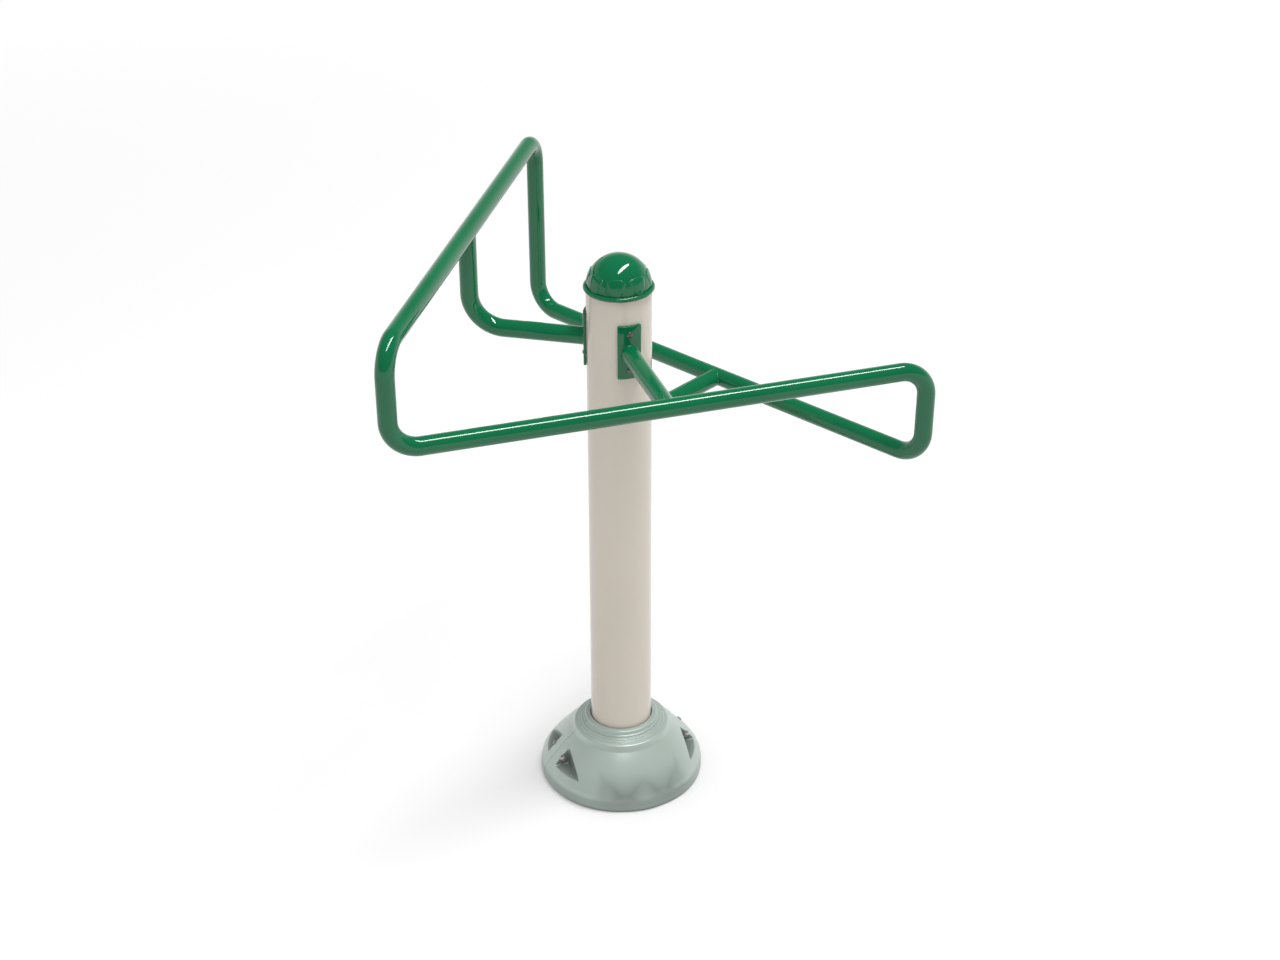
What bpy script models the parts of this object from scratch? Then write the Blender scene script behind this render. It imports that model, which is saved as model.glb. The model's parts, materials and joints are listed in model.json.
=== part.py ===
"""Double stretching post for an outdoor gym.

A round post on a welded base flange carries one closed loop of bent tube. In plan the loop is an
equilateral triangle centred on the post, and each of its three sides lies at its own height, so that
people of different sizes can rest a leg on it from all round. Three arms join the middles of the sides
to saddle plates bolted to the post. A domed cap closes the post, and a moulded cover in two halves,
bolted together through pockets, hides the flange.

Metres, +Z up. The origin is on the post's axis at the underside of the flange, and the middle bar
runs along X on the -Y side.
"""

import math

import bpy
import bmesh
from mathutils import Matrix, Vector

# Clearance kept between pieces that touch, overrun of cutters, and the merge distance of modifiers
GAP = 0.0003
OVERRUN = 0.010
MERGE = 0.0001

# Post and base flange: the flange keeps inside the cover's foot by its inset
POST_RADIUS = 0.070
POST_WALL = 0.004
FLANGE_INSET = 0.034
FLANGE_THICKNESS = 0.012
FLANGE_CHAMFER = 0.0015
ANCHOR_HOLE_RADIUS = 0.009
ANCHOR_INSET = 0.025
ANCHOR_COUNT = 4
FOOT_WELD_LEG = 0.006
GUSSET_COUNT = 4
GUSSET_INSET = 0.017
GUSSET_HEIGHT = 0.082
GUSSET_TOE = 0.014
GUSSET_HEEL = 0.010
GUSSET_SNIPE = 0.010
GUSSET_THICKNESS = 0.008

# Domed cap: how far it stands over the front plate and how its dome and rim stand to the post
CAP_WALL = 0.003
CAP_PLATE_GAP = 0.054
DOME_INSET = 0.002
CAP_OVERHANG = 0.0062
CAP_RIM_HEIGHT = 0.010
CAP_RIM_LIFT = 0.001
CAP_SPIGOT_DEPTH = 0.030

# Raised shields round the dome, their points down
SHIELD_COUNT = 8
SHIELD_ELEVATION = math.radians(20)
SHIELD_BAND = math.radians(20)
SHIELD_RISE = 0.003
SHIELD_WIDTH = 0.037
SHIELD_TIP_DROP = 0.012
SHIELD_SHOULDER_RISE = 0.008
SHIELD_CROWN_RISE = 0.013
SHIELD_CROWN_WIDTH_SHARE = 0.5

# Loop of tube: a triangle in plan, one height for each side
TUBE_RADIUS = 0.020
TUBE_WALL = 0.0025
LOOP_SIDE = 1.133
LOW_BAR_HEIGHT = 0.912
BAR_HEIGHT_STEP = 0.214
LOOP_BEND_RADIUS = 0.062

# Arms, saddle plates and their welds
ARM_BEND_RADIUS = 0.075
PLATE_THICKNESS = 0.006
PLATE_HEIGHT = 0.122
PLATE_HALF_ANGLE = math.radians(20)
PLATE_LIFT = 0.003
PLATE_EDGE = 0.0008
WELD_BEAD_RADIUS = 0.003

# Plate bolts and the rivet nuts that they turn into
PLATE_BOLT_EDGE = 0.0195
BOLT_RADIUS = 0.004
BOLT_HEAD_LEDGE = 0.0025
BOLT_HEAD_HEIGHT = 0.004
BOLT_REACH = 0.018
RIVET_NUT_WALL = 0.0012
RIVET_NUT_BULGE = 0.0013
RIVET_NUT_LENGTH = 0.016
RIVET_NUT_RECESS = 0.0005

# Base cover: widths from the post outwards, and heights from its top down
COVER_WALL = 0.005
COLLAR_TOP = 0.155
COLLAR_ROUNDING = 0.003
COLLAR_MOUTH_GAP = 0.0025
COLLAR_MOUTH_DEPTH = 0.007
COLLAR_WIDTH = 0.012
COLLAR_LIP_LENGTH = 0.025
SHOULDER_WIDTH = 0.030
SHOULDER_DROP = 0.036
RIDGE_ROUNDING = 0.005
FLANK_REACH = 0.0745
FLANK_BULGE = 0.0037
SKIRT_HEIGHT = 0.032
SKIRT_FILLET = 0.016
FOOT_UNDERCUT = 0.003
FOOT_UNDERCUT_HEIGHT = 0.014

# Terraces between the collar's top edge and the shoulder, from the inside out: the outer edge of each,
# as its shares of the way out and of the way down
TERRACE_SHARES = [(0.117, 0.278), (0.317, 0.431), (0.517, 0.528), (0.833, 0.611)]

# Hollow moulded into the middle of each half's flank: two lobes side by side, deepest over their lower
# edge, which is a wave with its low points in the lobes. Past the outer crests it rises and fades out.
HOLLOW_DEPTH = 0.0048
HOLLOW_LOW = 0.037
HOLLOW_CREST = 0.064
HOLLOW_TOP = 0.092
HOLLOW_LEDGE_SHARE = 0.12
HOLLOW_LOBE_ANGLE = math.radians(30)
HOLLOW_END_ANGLE = math.radians(41)

# Pockets of the cover, their floors falling away from the seam, and the bolts that hold the halves together
POCKET_INSET = 0.053
POCKET_BACK = 0.027
POCKET_FLOOR = 0.054
POCKET_FLOOR_TILT = math.radians(9.5)
POCKET_ROUNDING = 0.002
COVER_BOLT_OFFSET = 0.015
COVER_BOLT_RISE = 0.018
COVER_BOLT_RADIUS = 0.004
COVER_BOLT_HEAD_LEDGE = 0.0042
COVER_BOLT_HEAD_HEIGHT = 0.0045
COVER_BOLT_TAIL = 0.002
COVER_BOSS_MARGIN = 0.0035
WASHER_MARGIN = 0.0008
WASHER_THICKNESS = 0.0016
NUT_WALL = 0.0035
NUT_HEIGHT = 0.0045

# Facets
POST_STEPS = 48
COVER_STEPS = 48
CAVITY_STEPS = 32
CAP_STEPS = 32
FOOT_WELD_STEPS = 36
SMALL_STEPS = 12
HEX_STEPS = 6
CUTTER_STEPS = 48
COPE_STEPS = 24
BEND_STEPS = 5
FILLET_STEPS = 2
DOME_STEPS = 6
CEILING_STEPS = 4
SHIELD_STEPS = 3
FLANK_STEPS = 10
PLATE_STEPS = 6
WELD_STEPS = 16
WELD_BEVEL_STEPS = 1
TUBE_BEVEL_STEPS = 5
SMOOTH_ANGLE = math.radians(35)

# Derived heights and radii of the loop, the arms and the cap
MID_BAR_HEIGHT = LOW_BAR_HEIGHT + BAR_HEIGHT_STEP
HIGH_BAR_HEIGHT = MID_BAR_HEIGHT + BAR_HEIGHT_STEP
LOOP_INRADIUS = LOOP_SIDE / (2 * math.sqrt(3))
LOOP_CORNER_RADIUS = LOOP_SIDE / math.sqrt(3)
PLATE_INNER_RADIUS = POST_RADIUS + GAP
PLATE_OUTER_RADIUS = PLATE_INNER_RADIUS + PLATE_THICKNESS
WELD_OFFSET = WELD_BEAD_RADIUS + GAP
CAP_RIM_BOTTOM = MID_BAR_HEIGHT + PLATE_LIFT + PLATE_HEIGHT / 2 + CAP_PLATE_GAP
CAP_RIM_TOP = CAP_RIM_BOTTOM + CAP_RIM_HEIGHT
CAP_RIM_RADIUS = POST_RADIUS + CAP_OVERHANG
DOME_CENTRE_HEIGHT = CAP_RIM_TOP - CAP_RIM_LIFT
DOME_RADIUS = POST_RADIUS - DOME_INSET
POST_INNER_RADIUS = POST_RADIUS - POST_WALL
POST_BOTTOM = FLANGE_THICKNESS + GAP
POST_TOP = CAP_RIM_BOTTOM - GAP

# Derived radii and heights of the cover and the flange
COVER_LIP_RADIUS = POST_RADIUS + GAP
COLLAR_MOUTH_RADIUS = POST_RADIUS + COLLAR_MOUTH_GAP
COLLAR_RADIUS = COLLAR_MOUTH_RADIUS + COLLAR_WIDTH
SHOULDER_RADIUS = COLLAR_RADIUS + SHOULDER_WIDTH
SHOULDER_HEIGHT = COLLAR_TOP - SHOULDER_DROP
FOOT_RADIUS = SHOULDER_RADIUS + FLANK_REACH
TERRACES = [
    (COLLAR_RADIUS + SHOULDER_WIDTH * out_share, COLLAR_TOP - SHOULDER_DROP * down_share)
    for out_share, down_share in TERRACE_SHARES
]
FLANGE_RADIUS = FOOT_RADIUS - FLANGE_INSET
ANCHOR_CIRCLE_RADIUS = FLANGE_RADIUS - ANCHOR_INSET
POCKET_SIDE = FOOT_RADIUS - POCKET_INSET

# Derived places and sizes of the fasteners
PLATE_BOLT_OFFSET = PLATE_HEIGHT / 2 - PLATE_BOLT_EDGE
BOLT_HEAD_RADIUS = BOLT_RADIUS + BOLT_HEAD_LEDGE
RIVET_NUT_RADIUS = BOLT_RADIUS + GAP + RIVET_NUT_WALL
RIVET_NUT_BULGE_RADIUS = RIVET_NUT_RADIUS + RIVET_NUT_BULGE
COVER_BOLT_X = POCKET_SIDE + COVER_BOLT_OFFSET
COVER_BOLT_HEIGHT = POCKET_FLOOR + COVER_BOLT_RISE
COVER_BOLT_HEAD_RADIUS = COVER_BOLT_RADIUS + COVER_BOLT_HEAD_LEDGE
WASHER_RADIUS = COVER_BOLT_HEAD_RADIUS + WASHER_MARGIN
COVER_BOSS_RADIUS = WASHER_RADIUS + COVER_BOSS_MARGIN
NUT_RADIUS = COVER_BOLT_RADIUS + NUT_WALL

# Each bar: the plan angles of its two corners, and the heights of the bar before it, itself and the next
BARS = {
    "mid_bar": (-150, -30, HIGH_BAR_HEIGHT, MID_BAR_HEIGHT, LOW_BAR_HEIGHT),
    "low_bar": (-30, 90, MID_BAR_HEIGHT, LOW_BAR_HEIGHT, HIGH_BAR_HEIGHT),
    "high_bar": (90, 210, LOW_BAR_HEIGHT, HIGH_BAR_HEIGHT, MID_BAR_HEIGHT),
}

# Each arm: its plan angle, its height at the post and the height of the bar that it holds
ARMS = {
    "front": (-90, MID_BAR_HEIGHT, MID_BAR_HEIGHT),
    "left": (150, MID_BAR_HEIGHT, HIGH_BAR_HEIGHT),
    "right": (30, LOW_BAR_HEIGHT, LOW_BAR_HEIGHT),
}

# Finishes: colour, roughness, metallic
FINISHES = {
    "green_coat": ((0.017, 0.138, 0.060), 0.30, 0.0),
    "beige_coat": ((0.604, 0.546, 0.474), 0.35, 0.0),
    "cover_grey": ((0.320, 0.378, 0.346), 0.45, 0.0),
    "galvanised_steel": ((0.42, 0.43, 0.44), 0.50, 0.9),
    "zinc_fastener": ((0.30, 0.29, 0.28), 0.35, 0.9),
    "weld_metal": ((0.25, 0.25, 0.25), 0.60, 0.9),
}


def clear_scene():
    for obj in list(bpy.data.objects):
        bpy.data.objects.remove(obj, do_unlink=True)


def new_collection(name):
    collection = bpy.data.collections.new(name)
    bpy.context.scene.collection.children.link(collection)
    return collection


def make_finishes():
    made = {}
    for name, (colour, roughness, metallic) in FINISHES.items():
        material = bpy.data.materials.new(name)
        material.use_nodes = True
        shader = material.node_tree.nodes["Principled BSDF"]
        shader.inputs["Base Color"].default_value = (*colour, 1.0)
        shader.inputs["Roughness"].default_value = roughness
        shader.inputs["Metallic"].default_value = metallic
        made[name] = material
    return made


clear_scene()
PIECES = new_collection("double_stretching_post")
CUTTERS = new_collection("cutters")
MATERIALS = make_finishes()
ROOT = bpy.data.objects.new("post_origin", None)
PIECES.objects.link(ROOT)


# Building blocks


def place(name, data, finish, matrix=None):
    """Adds a visible piece under the root empty."""
    obj = bpy.data.objects.new(name, data)
    PIECES.objects.link(obj)
    obj.parent = ROOT
    if matrix is not None:
        obj.matrix_world = matrix
    if not data.materials:
        data.materials.append(MATERIALS[finish])
    return obj


def to_cutter(obj):
    """Turns a piece into a cutter: drawn as wire and left out of renders."""
    for collection in list(obj.users_collection):
        collection.objects.unlink(obj)
    CUTTERS.objects.link(obj)
    obj.hide_render = True
    obj.display_type = "WIRE"
    return obj


def boolean(obj, other, operation="DIFFERENCE"):
    modifier = obj.modifiers.new(f"{operation.title()} {other.name}", "BOOLEAN")
    modifier.operation = operation
    modifier.solver = "EXACT"
    modifier.object = other


def bake(obj):
    """Replaces an object's data, curve or modified mesh, with the mesh that it evaluates to."""
    bpy.context.view_layer.update()
    graph = bpy.context.evaluated_depsgraph_get()
    mesh = bpy.data.meshes.new_from_object(obj.evaluated_get(graph), depsgraph=graph)
    work = bmesh.new()
    work.from_mesh(mesh)
    bmesh.ops.remove_doubles(work, verts=work.verts, dist=MERGE / 10)
    work.to_mesh(mesh)
    work.free()
    mesh.name = obj.name
    baked = bpy.data.objects.new(obj.name + "_baked", mesh)
    for collection in obj.users_collection:
        collection.objects.link(baked)
    baked.parent = obj.parent
    baked.matrix_world = obj.matrix_world.copy()
    name = obj.name
    bpy.data.objects.remove(obj, do_unlink=True)
    baked.name = name
    return baked


def smooth(obj):
    obj.data.shade_smooth()
    obj.data.set_sharp_from_angle(angle=SMOOTH_ANGLE)
    return obj


def profile_mesh(name, outline, closed):
    mesh = bpy.data.meshes.new(name)
    points = [(radius, 0, height) for radius, height in outline]
    edges = [(i, i + 1) for i in range(len(points) - 1)]
    if closed:
        edges.append((len(points) - 1, 0))
    mesh.from_pydata(points, edges, [])
    return mesh


def add_screw(obj, steps):
    screw = obj.modifiers.new("Turn", "SCREW")
    screw.axis = "Z"
    screw.steps = steps
    screw.render_steps = steps
    screw.use_merge_vertices = True
    screw.merge_threshold = MERGE
    screw.use_smooth_shade = True


def turned(name, outline, finish, steps, matrix=None, closed=True):
    """A turned piece. The outline's (radius, height) points run down its outer side."""
    obj = place(name, profile_mesh(name, outline, closed), finish, matrix)
    add_screw(obj, steps)
    return obj


def rounded_path(corners, radius, steps):
    """A polyline whose inner corners are replaced with tangent arcs."""
    path = [corners[0]]
    for before, corner, after in zip(corners, corners[1:], corners[2:]):
        to_before = (before - corner).normalized()
        to_after = (after - corner).normalized()
        half_angle = to_before.angle(to_after) / 2
        centre = corner + (to_before + to_after).normalized() * (radius / math.sin(half_angle))
        start = corner + to_before * (radius / math.tan(half_angle)) - centre
        end = corner + to_after * (radius / math.tan(half_angle)) - centre
        path += [centre + start.slerp(end, i / steps) * radius for i in range(steps + 1)]
    path.append(corners[-1])
    return path


def poly_curve(name, path, cyclic=False):
    curve = bpy.data.curves.new(name, "CURVE")
    curve.dimensions = "3D"
    spline = curve.splines.new("POLY")
    spline.points.add(len(path) - 1)
    for point, position in zip(spline.points, path):
        point.co = (*position, 1)
    spline.use_cyclic_u = cyclic
    return curve


def hollow_tube(name, path, radius, wall, finish):
    """A tube along a path: a bevelled curve without caps, made a mesh and given its wall."""
    curve = poly_curve(name, path)
    curve.bevel_depth = radius
    curve.bevel_resolution = TUBE_BEVEL_STEPS
    obj = bake(place(name, curve, finish))
    shell = obj.modifiers.new("Wall", "SOLIDIFY")
    shell.thickness = wall
    shell.offset = -1
    return smooth(obj)


def flat_piece(name, outline, thickness, finish, matrix):
    """A plate cut from a flat outline, its thickness centred on the outline's plane."""
    curve = bpy.data.curves.new(name, "CURVE")
    curve.dimensions = "2D"
    curve.fill_mode = "BOTH"
    curve.extrude = thickness / 2
    spline = curve.splines.new("POLY")
    spline.points.add(len(outline) - 1)
    for point, (x, y) in zip(spline.points, outline):
        point.co = (x, y, 0, 1)
    spline.use_cyclic_u = True
    return bake(place(name, curve, finish, matrix))


def cylinder_cutter(name, radius, start, end, steps=CUTTER_STEPS):
    """A cylinder from start to end, used to cut or to join."""
    axis = end - start
    mesh = bpy.data.meshes.new(name)
    work = bmesh.new()
    bmesh.ops.create_cone(
        work, cap_ends=True, segments=steps, radius1=radius, radius2=radius, depth=axis.length
    )
    work.to_mesh(mesh)
    work.free()
    turn = axis.to_track_quat("Z", "Y").to_matrix().to_4x4()
    obj = place(name, mesh, "weld_metal", Matrix.Translation((start + end) / 2) @ turn)
    return to_cutter(obj)


def plan_direction(degrees):
    angle = math.radians(degrees)
    return Vector((math.cos(angle), math.sin(angle), 0))


def facing(direction, origin):
    """A frame at origin whose +Z points along direction."""
    return Matrix.Translation(origin) @ direction.to_track_quat("Z", "Y").to_matrix().to_4x4()


def upright_plane(degrees):
    """A frame on the post's axis whose X points along the plan angle and whose Y points up."""
    return Matrix.Rotation(math.radians(degrees), 4, "Z") @ Matrix.Rotation(math.pi / 2, 4, "X")


def arc_points(radius, height, start, end, steps):
    """(radius, height) points on a circle about (0, height), from one elevation to another."""
    angles = [start + (end - start) * i / steps for i in range(steps + 1)]
    return [(radius * math.cos(a), height + radius * math.sin(a)) for a in angles]


def dome_outline(radius, height):
    """Points of a low dome from its top on the axis down to its rim: a cap of a sphere."""
    sphere = (radius**2 + height**2) / (2 * height)
    rim = math.asin((sphere - height) / sphere)
    return [
        (r, z - sphere + height)
        for r, z in reversed(arc_points(sphere, 0, rim, math.pi / 2, FILLET_STEPS))
    ]


# Post, flange and what is welded to them


def make_post():
    post = turned(
        "post_tube",
        [
            (POST_INNER_RADIUS, POST_TOP),
            (POST_RADIUS, POST_TOP),
            (POST_RADIUS, POST_BOTTOM),
            (POST_INNER_RADIUS, POST_BOTTOM),
        ],
        "beige_coat",
        POST_STEPS,
    )
    for name, (angle, height, _) in ARMS.items():
        for side, offset in plate_bolt_offsets():
            direction = plan_direction(angle)
            centre = Vector((0, 0, height + offset))
            hole = cylinder_cutter(
                f"post_hole_{name}_{side}",
                RIVET_NUT_RADIUS + GAP,
                centre + direction * (POST_INNER_RADIUS - OVERRUN),
                centre + direction * (POST_RADIUS + OVERRUN),
                SMALL_STEPS,
            )
            boolean(post, hole)


def make_flange():
    flange = turned(
        "base_flange",
        [
            (0, FLANGE_THICKNESS),
            (FLANGE_RADIUS - FLANGE_CHAMFER, FLANGE_THICKNESS),
            (FLANGE_RADIUS, FLANGE_THICKNESS - FLANGE_CHAMFER),
            (FLANGE_RADIUS, 0),
            (0, 0),
        ],
        "galvanised_steel",
        POST_STEPS,
        closed=False,
    )
    for i in range(ANCHOR_COUNT):
        centre = plan_direction(360 * i / ANCHOR_COUNT) * ANCHOR_CIRCLE_RADIUS
        low = centre - Vector((0, 0, OVERRUN))
        high = centre + Vector((0, 0, FLANGE_THICKNESS + OVERRUN))
        boolean(flange, cylinder_cutter(f"anchor_hole_{i + 1}", ANCHOR_HOLE_RADIUS, low, high, SMALL_STEPS))
    inner = POST_RADIUS + GAP
    turned(
        "post_foot_weld",
        [(inner, POST_BOTTOM + FOOT_WELD_LEG), (inner + FOOT_WELD_LEG, POST_BOTTOM), (inner, POST_BOTTOM)],
        "weld_metal",
        FOOT_WELD_STEPS,
    )


def make_gussets():
    inner = POST_RADIUS + GAP
    outer = FLANGE_RADIUS - GUSSET_INSET
    foot = POST_BOTTOM
    head = foot + GUSSET_HEIGHT
    outline = [
        (inner + GUSSET_SNIPE, foot),
        (outer, foot),
        (outer, foot + GUSSET_TOE),
        (inner + GUSSET_HEEL, head),
        (inner, head),
        (inner, foot + GUSSET_SNIPE),
    ]
    for i in range(GUSSET_COUNT):
        angle = 360 * (i + 0.5) / GUSSET_COUNT
        name = f"base_gusset_{i + 1}"
        flat_piece(name, outline, GUSSET_THICKNESS, "galvanised_steel", upright_plane(angle))


def make_cap():
    inner_dome = DOME_RADIUS - CAP_WALL
    spigot = POST_INNER_RADIUS - GAP
    spigot_inner = spigot - CAP_WALL
    rim_middle = (CAP_RIM_TOP + CAP_RIM_BOTTOM) / 2
    rim_half = CAP_RIM_HEIGHT / 2
    rim = [
        (CAP_RIM_RADIUS - rim_half + r, z)
        for r, z in arc_points(rim_half, rim_middle, math.pi / 2, -math.pi / 2, 2 * FILLET_STEPS)
    ]
    outline = arc_points(DOME_RADIUS, DOME_CENTRE_HEIGHT, math.pi / 2, 0, DOME_STEPS)
    outline[0] = (0, DOME_CENTRE_HEIGHT + DOME_RADIUS)
    outline[-1] = (DOME_RADIUS, CAP_RIM_TOP)
    outline += rim
    outline += [
        (spigot, CAP_RIM_BOTTOM),
        (spigot, CAP_RIM_BOTTOM - CAP_SPIGOT_DEPTH),
        (spigot_inner, CAP_RIM_BOTTOM - CAP_SPIGOT_DEPTH),
        (spigot_inner, CAP_RIM_BOTTOM),
    ]
    inside = arc_points(inner_dome, DOME_CENTRE_HEIGHT, 0, math.pi / 2, CEILING_STEPS)
    inside[-1] = (0, DOME_CENTRE_HEIGHT + inner_dome)
    half_step = Matrix.Rotation(math.pi / CAP_STEPS, 4, "Z")
    cap = turned("dome_cap", outline + inside, "green_coat", CAP_STEPS, half_step, closed=False)
    add_cap_shields(cap, half_step)


def add_cap_shields(cap, half_step):
    """Raised shields round the dome, each a radial prism trimmed to a layer over the dome's surface."""
    low = SHIELD_ELEVATION - SHIELD_BAND
    high = SHIELD_ELEVATION + SHIELD_BAND
    outer = arc_points(DOME_RADIUS + SHIELD_RISE, DOME_CENTRE_HEIGHT, high, low, SHIELD_STEPS)
    inner = arc_points(DOME_RADIUS - CAP_WALL / 2, DOME_CENTRE_HEIGHT, low, high, SHIELD_STEPS)
    layer = to_cutter(turned("shield_layer", outer + inner, "green_coat", CAP_STEPS, half_step))
    half_width = SHIELD_WIDTH / 2
    outline = [
        (0, -SHIELD_TIP_DROP),
        (half_width, SHIELD_SHOULDER_RISE),
        (half_width * SHIELD_CROWN_WIDTH_SHARE, SHIELD_CROWN_RISE),
        (-half_width * SHIELD_CROWN_WIDTH_SHARE, SHIELD_CROWN_RISE),
        (-half_width, SHIELD_SHOULDER_RISE),
    ]
    for i in range(SHIELD_COUNT):
        turn = Matrix.Rotation(2 * math.pi * (i + 0.5) / SHIELD_COUNT, 4, "Z")
        tilt = Matrix.Rotation(math.pi / 2 - SHIELD_ELEVATION, 4, "X")
        lift = Matrix.Translation((0, 0, DOME_RADIUS))
        centre = Matrix.Translation((0, 0, DOME_CENTRE_HEIGHT))
        name = f"shield_{i + 1}"
        shield = to_cutter(flat_piece(name, outline, DOME_RADIUS, "green_coat", centre @ turn @ tilt @ lift))
        boolean(shield, layer, "INTERSECT")
        boolean(cap, shield, "UNION")


# Loop and arms


def corner_at(degrees, height):
    return plan_direction(degrees) * LOOP_CORNER_RADIUS + Vector((0, 0, height))


def make_loop():
    """Three bent tubes, butted end to end half way up each upright."""
    for name, (start, end, before, height, after) in BARS.items():
        start_joint = (before + height) / 2
        end_joint = (height + after) / 2
        start_gap = math.copysign(GAP / 2, height - before)
        end_gap = math.copysign(GAP / 2, height - after)
        corners = [
            corner_at(start, start_joint + start_gap),
            corner_at(start, height),
            corner_at(end, height),
            corner_at(end, end_joint + end_gap),
        ]
        path = rounded_path(corners, LOOP_BEND_RADIUS, BEND_STEPS)
        hollow_tube(name, path, TUBE_RADIUS, TUBE_WALL, "green_coat")


def plate_bolt_offsets():
    """Heights of a plate's two bolts above its arm's axis."""
    return (
        ("upper", PLATE_LIFT + PLATE_BOLT_OFFSET),
        ("lower", PLATE_LIFT - PLATE_BOLT_OFFSET),
    )


def make_arm(name, degrees, height, bar_height):
    """The tube from the plate to the bar. It turns up where the bar is higher than the plate."""
    outward = plan_direction(degrees)
    along_bar = plan_direction(degrees + 90)
    root = outward * POST_RADIUS + Vector((0, 0, height))
    bar_middle = outward * LOOP_INRADIUS + Vector((0, 0, bar_height))
    corners = [root, bar_middle]
    if bar_height > height:
        corners.insert(1, outward * LOOP_INRADIUS + Vector((0, 0, height)))
    path = rounded_path(corners, ARM_BEND_RADIUS, BEND_STEPS)
    arm = hollow_tube(f"{name}_arm", path, TUBE_RADIUS, TUBE_WALL, "green_coat")
    reach = Vector((0, 0, TUBE_RADIUS + OVERRUN))
    centre = Vector((0, 0, height))
    seat = PLATE_OUTER_RADIUS + GAP
    boolean(arm, cylinder_cutter(f"{name}_arm_seat", seat, centre - reach, centre + reach))
    half = along_bar * (TUBE_RADIUS + OVERRUN)
    cope = cylinder_cutter(
        f"{name}_arm_cope", TUBE_RADIUS + GAP, bar_middle - half, bar_middle + half, COPE_STEPS
    )
    boolean(arm, cope)
    make_arm_welds(name, outward, height, bar_middle, path[-2] - path[-1])


def make_arm_welds(name, outward, height, bar_middle, back_along_arm):
    """Fillet beads round the arm where it meets the plate and where it meets the bar."""
    up = Vector((0, 0, 1))
    across = up.cross(outward)
    ring = (TUBE_RADIUS + WELD_OFFSET) / math.cos(math.pi / WELD_STEPS)
    seat = PLATE_OUTER_RADIUS + WELD_OFFSET
    turns = [2 * math.pi * i / WELD_STEPS for i in range(WELD_STEPS)]
    at_plate = []
    for turn in turns:
        side = ring * math.cos(turn)
        distance = math.sqrt(seat**2 - side**2)
        at_plate.append(outward * distance + across * side + up * (height + ring * math.sin(turn)))
    arm_axis = back_along_arm.normalized()
    bar_axis = across
    third = arm_axis.cross(bar_axis)
    at_bar = [
        bar_middle
        + bar_axis * (ring * math.cos(turn))
        + third * (ring * math.sin(turn))
        + arm_axis * (ring * abs(math.cos(turn)))
        for turn in turns
    ]
    for piece, path in (("plate_weld", at_plate), ("bar_weld", at_bar)):
        curve = poly_curve(f"{name}_arm_{piece}", path, cyclic=True)
        curve.bevel_depth = WELD_BEAD_RADIUS
        curve.bevel_resolution = WELD_BEVEL_STEPS
        place(f"{name}_arm_{piece}", curve, "green_coat")


def make_plate(name, degrees, height):
    """A saddle plate curved to the post, with its two bolts and their rivet nuts."""
    angles = [PLATE_HALF_ANGLE * (2 * i / PLATE_STEPS - 1) for i in range(PLATE_STEPS + 1)]
    outline = [(PLATE_OUTER_RADIUS * math.cos(a), PLATE_OUTER_RADIUS * math.sin(a)) for a in angles]
    outline += [
        (PLATE_INNER_RADIUS * math.cos(a), PLATE_INNER_RADIUS * math.sin(a)) for a in reversed(angles)
    ]
    matrix = Matrix.Translation((0, 0, height + PLATE_LIFT)) @ Matrix.Rotation(math.radians(degrees), 4, "Z")
    plate = flat_piece(f"{name}_arm_plate", outline, PLATE_HEIGHT, "green_coat", matrix)
    bevel = plate.modifiers.new("Edges", "BEVEL")
    bevel.width = PLATE_EDGE
    bevel.segments = 1
    bevel.limit_method = "ANGLE"
    bevel.angle_limit = SMOOTH_ANGLE
    outward = plan_direction(degrees)
    for side, offset in plate_bolt_offsets():
        centre = Vector((0, 0, height + offset))
        hole = cylinder_cutter(
            f"{name}_plate_hole_{side}",
            BOLT_RADIUS + GAP,
            centre + outward * (PLATE_INNER_RADIUS - OVERRUN),
            centre + outward * (PLATE_OUTER_RADIUS + OVERRUN),
            SMALL_STEPS,
        )
        boolean(plate, hole)
        make_plate_fastener(f"{name}_{side}", outward, centre)


def make_plate_fastener(name, outward, centre):
    """A domed bolt through the plate and the rivet nut set in the post's wall behind it."""
    seat = centre + outward * (PLATE_OUTER_RADIUS + GAP)
    shank = [(BOLT_RADIUS, 0), (BOLT_RADIUS, -BOLT_REACH), (0, -BOLT_REACH)]
    head = dome_outline(BOLT_HEAD_RADIUS, BOLT_HEAD_HEIGHT)
    turned(f"plate_bolt_{name}", head + shank, "zinc_fastener", SMALL_STEPS, facing(outward, seat), closed=False)
    mouth = centre + outward * (POST_RADIUS - RIVET_NUT_RECESS)
    wall_side = math.sqrt(POST_INNER_RADIUS**2 - RIVET_NUT_BULGE_RADIUS**2)
    bulge_top = wall_side - GAP - (POST_RADIUS - RIVET_NUT_RECESS)
    bore = BOLT_RADIUS + GAP
    outline = [
        (bore, 0),
        (RIVET_NUT_RADIUS, 0),
        (RIVET_NUT_RADIUS, bulge_top),
        (RIVET_NUT_BULGE_RADIUS, bulge_top),
        (RIVET_NUT_RADIUS, -RIVET_NUT_LENGTH),
        (bore, -RIVET_NUT_LENGTH),
    ]
    turned(f"rivet_nut_{name}", outline, "zinc_fastener", SMALL_STEPS, facing(outward, mouth))


# Base cover


def flat_points(path):
    return [(point.x, point.z) for point in path]


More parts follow.
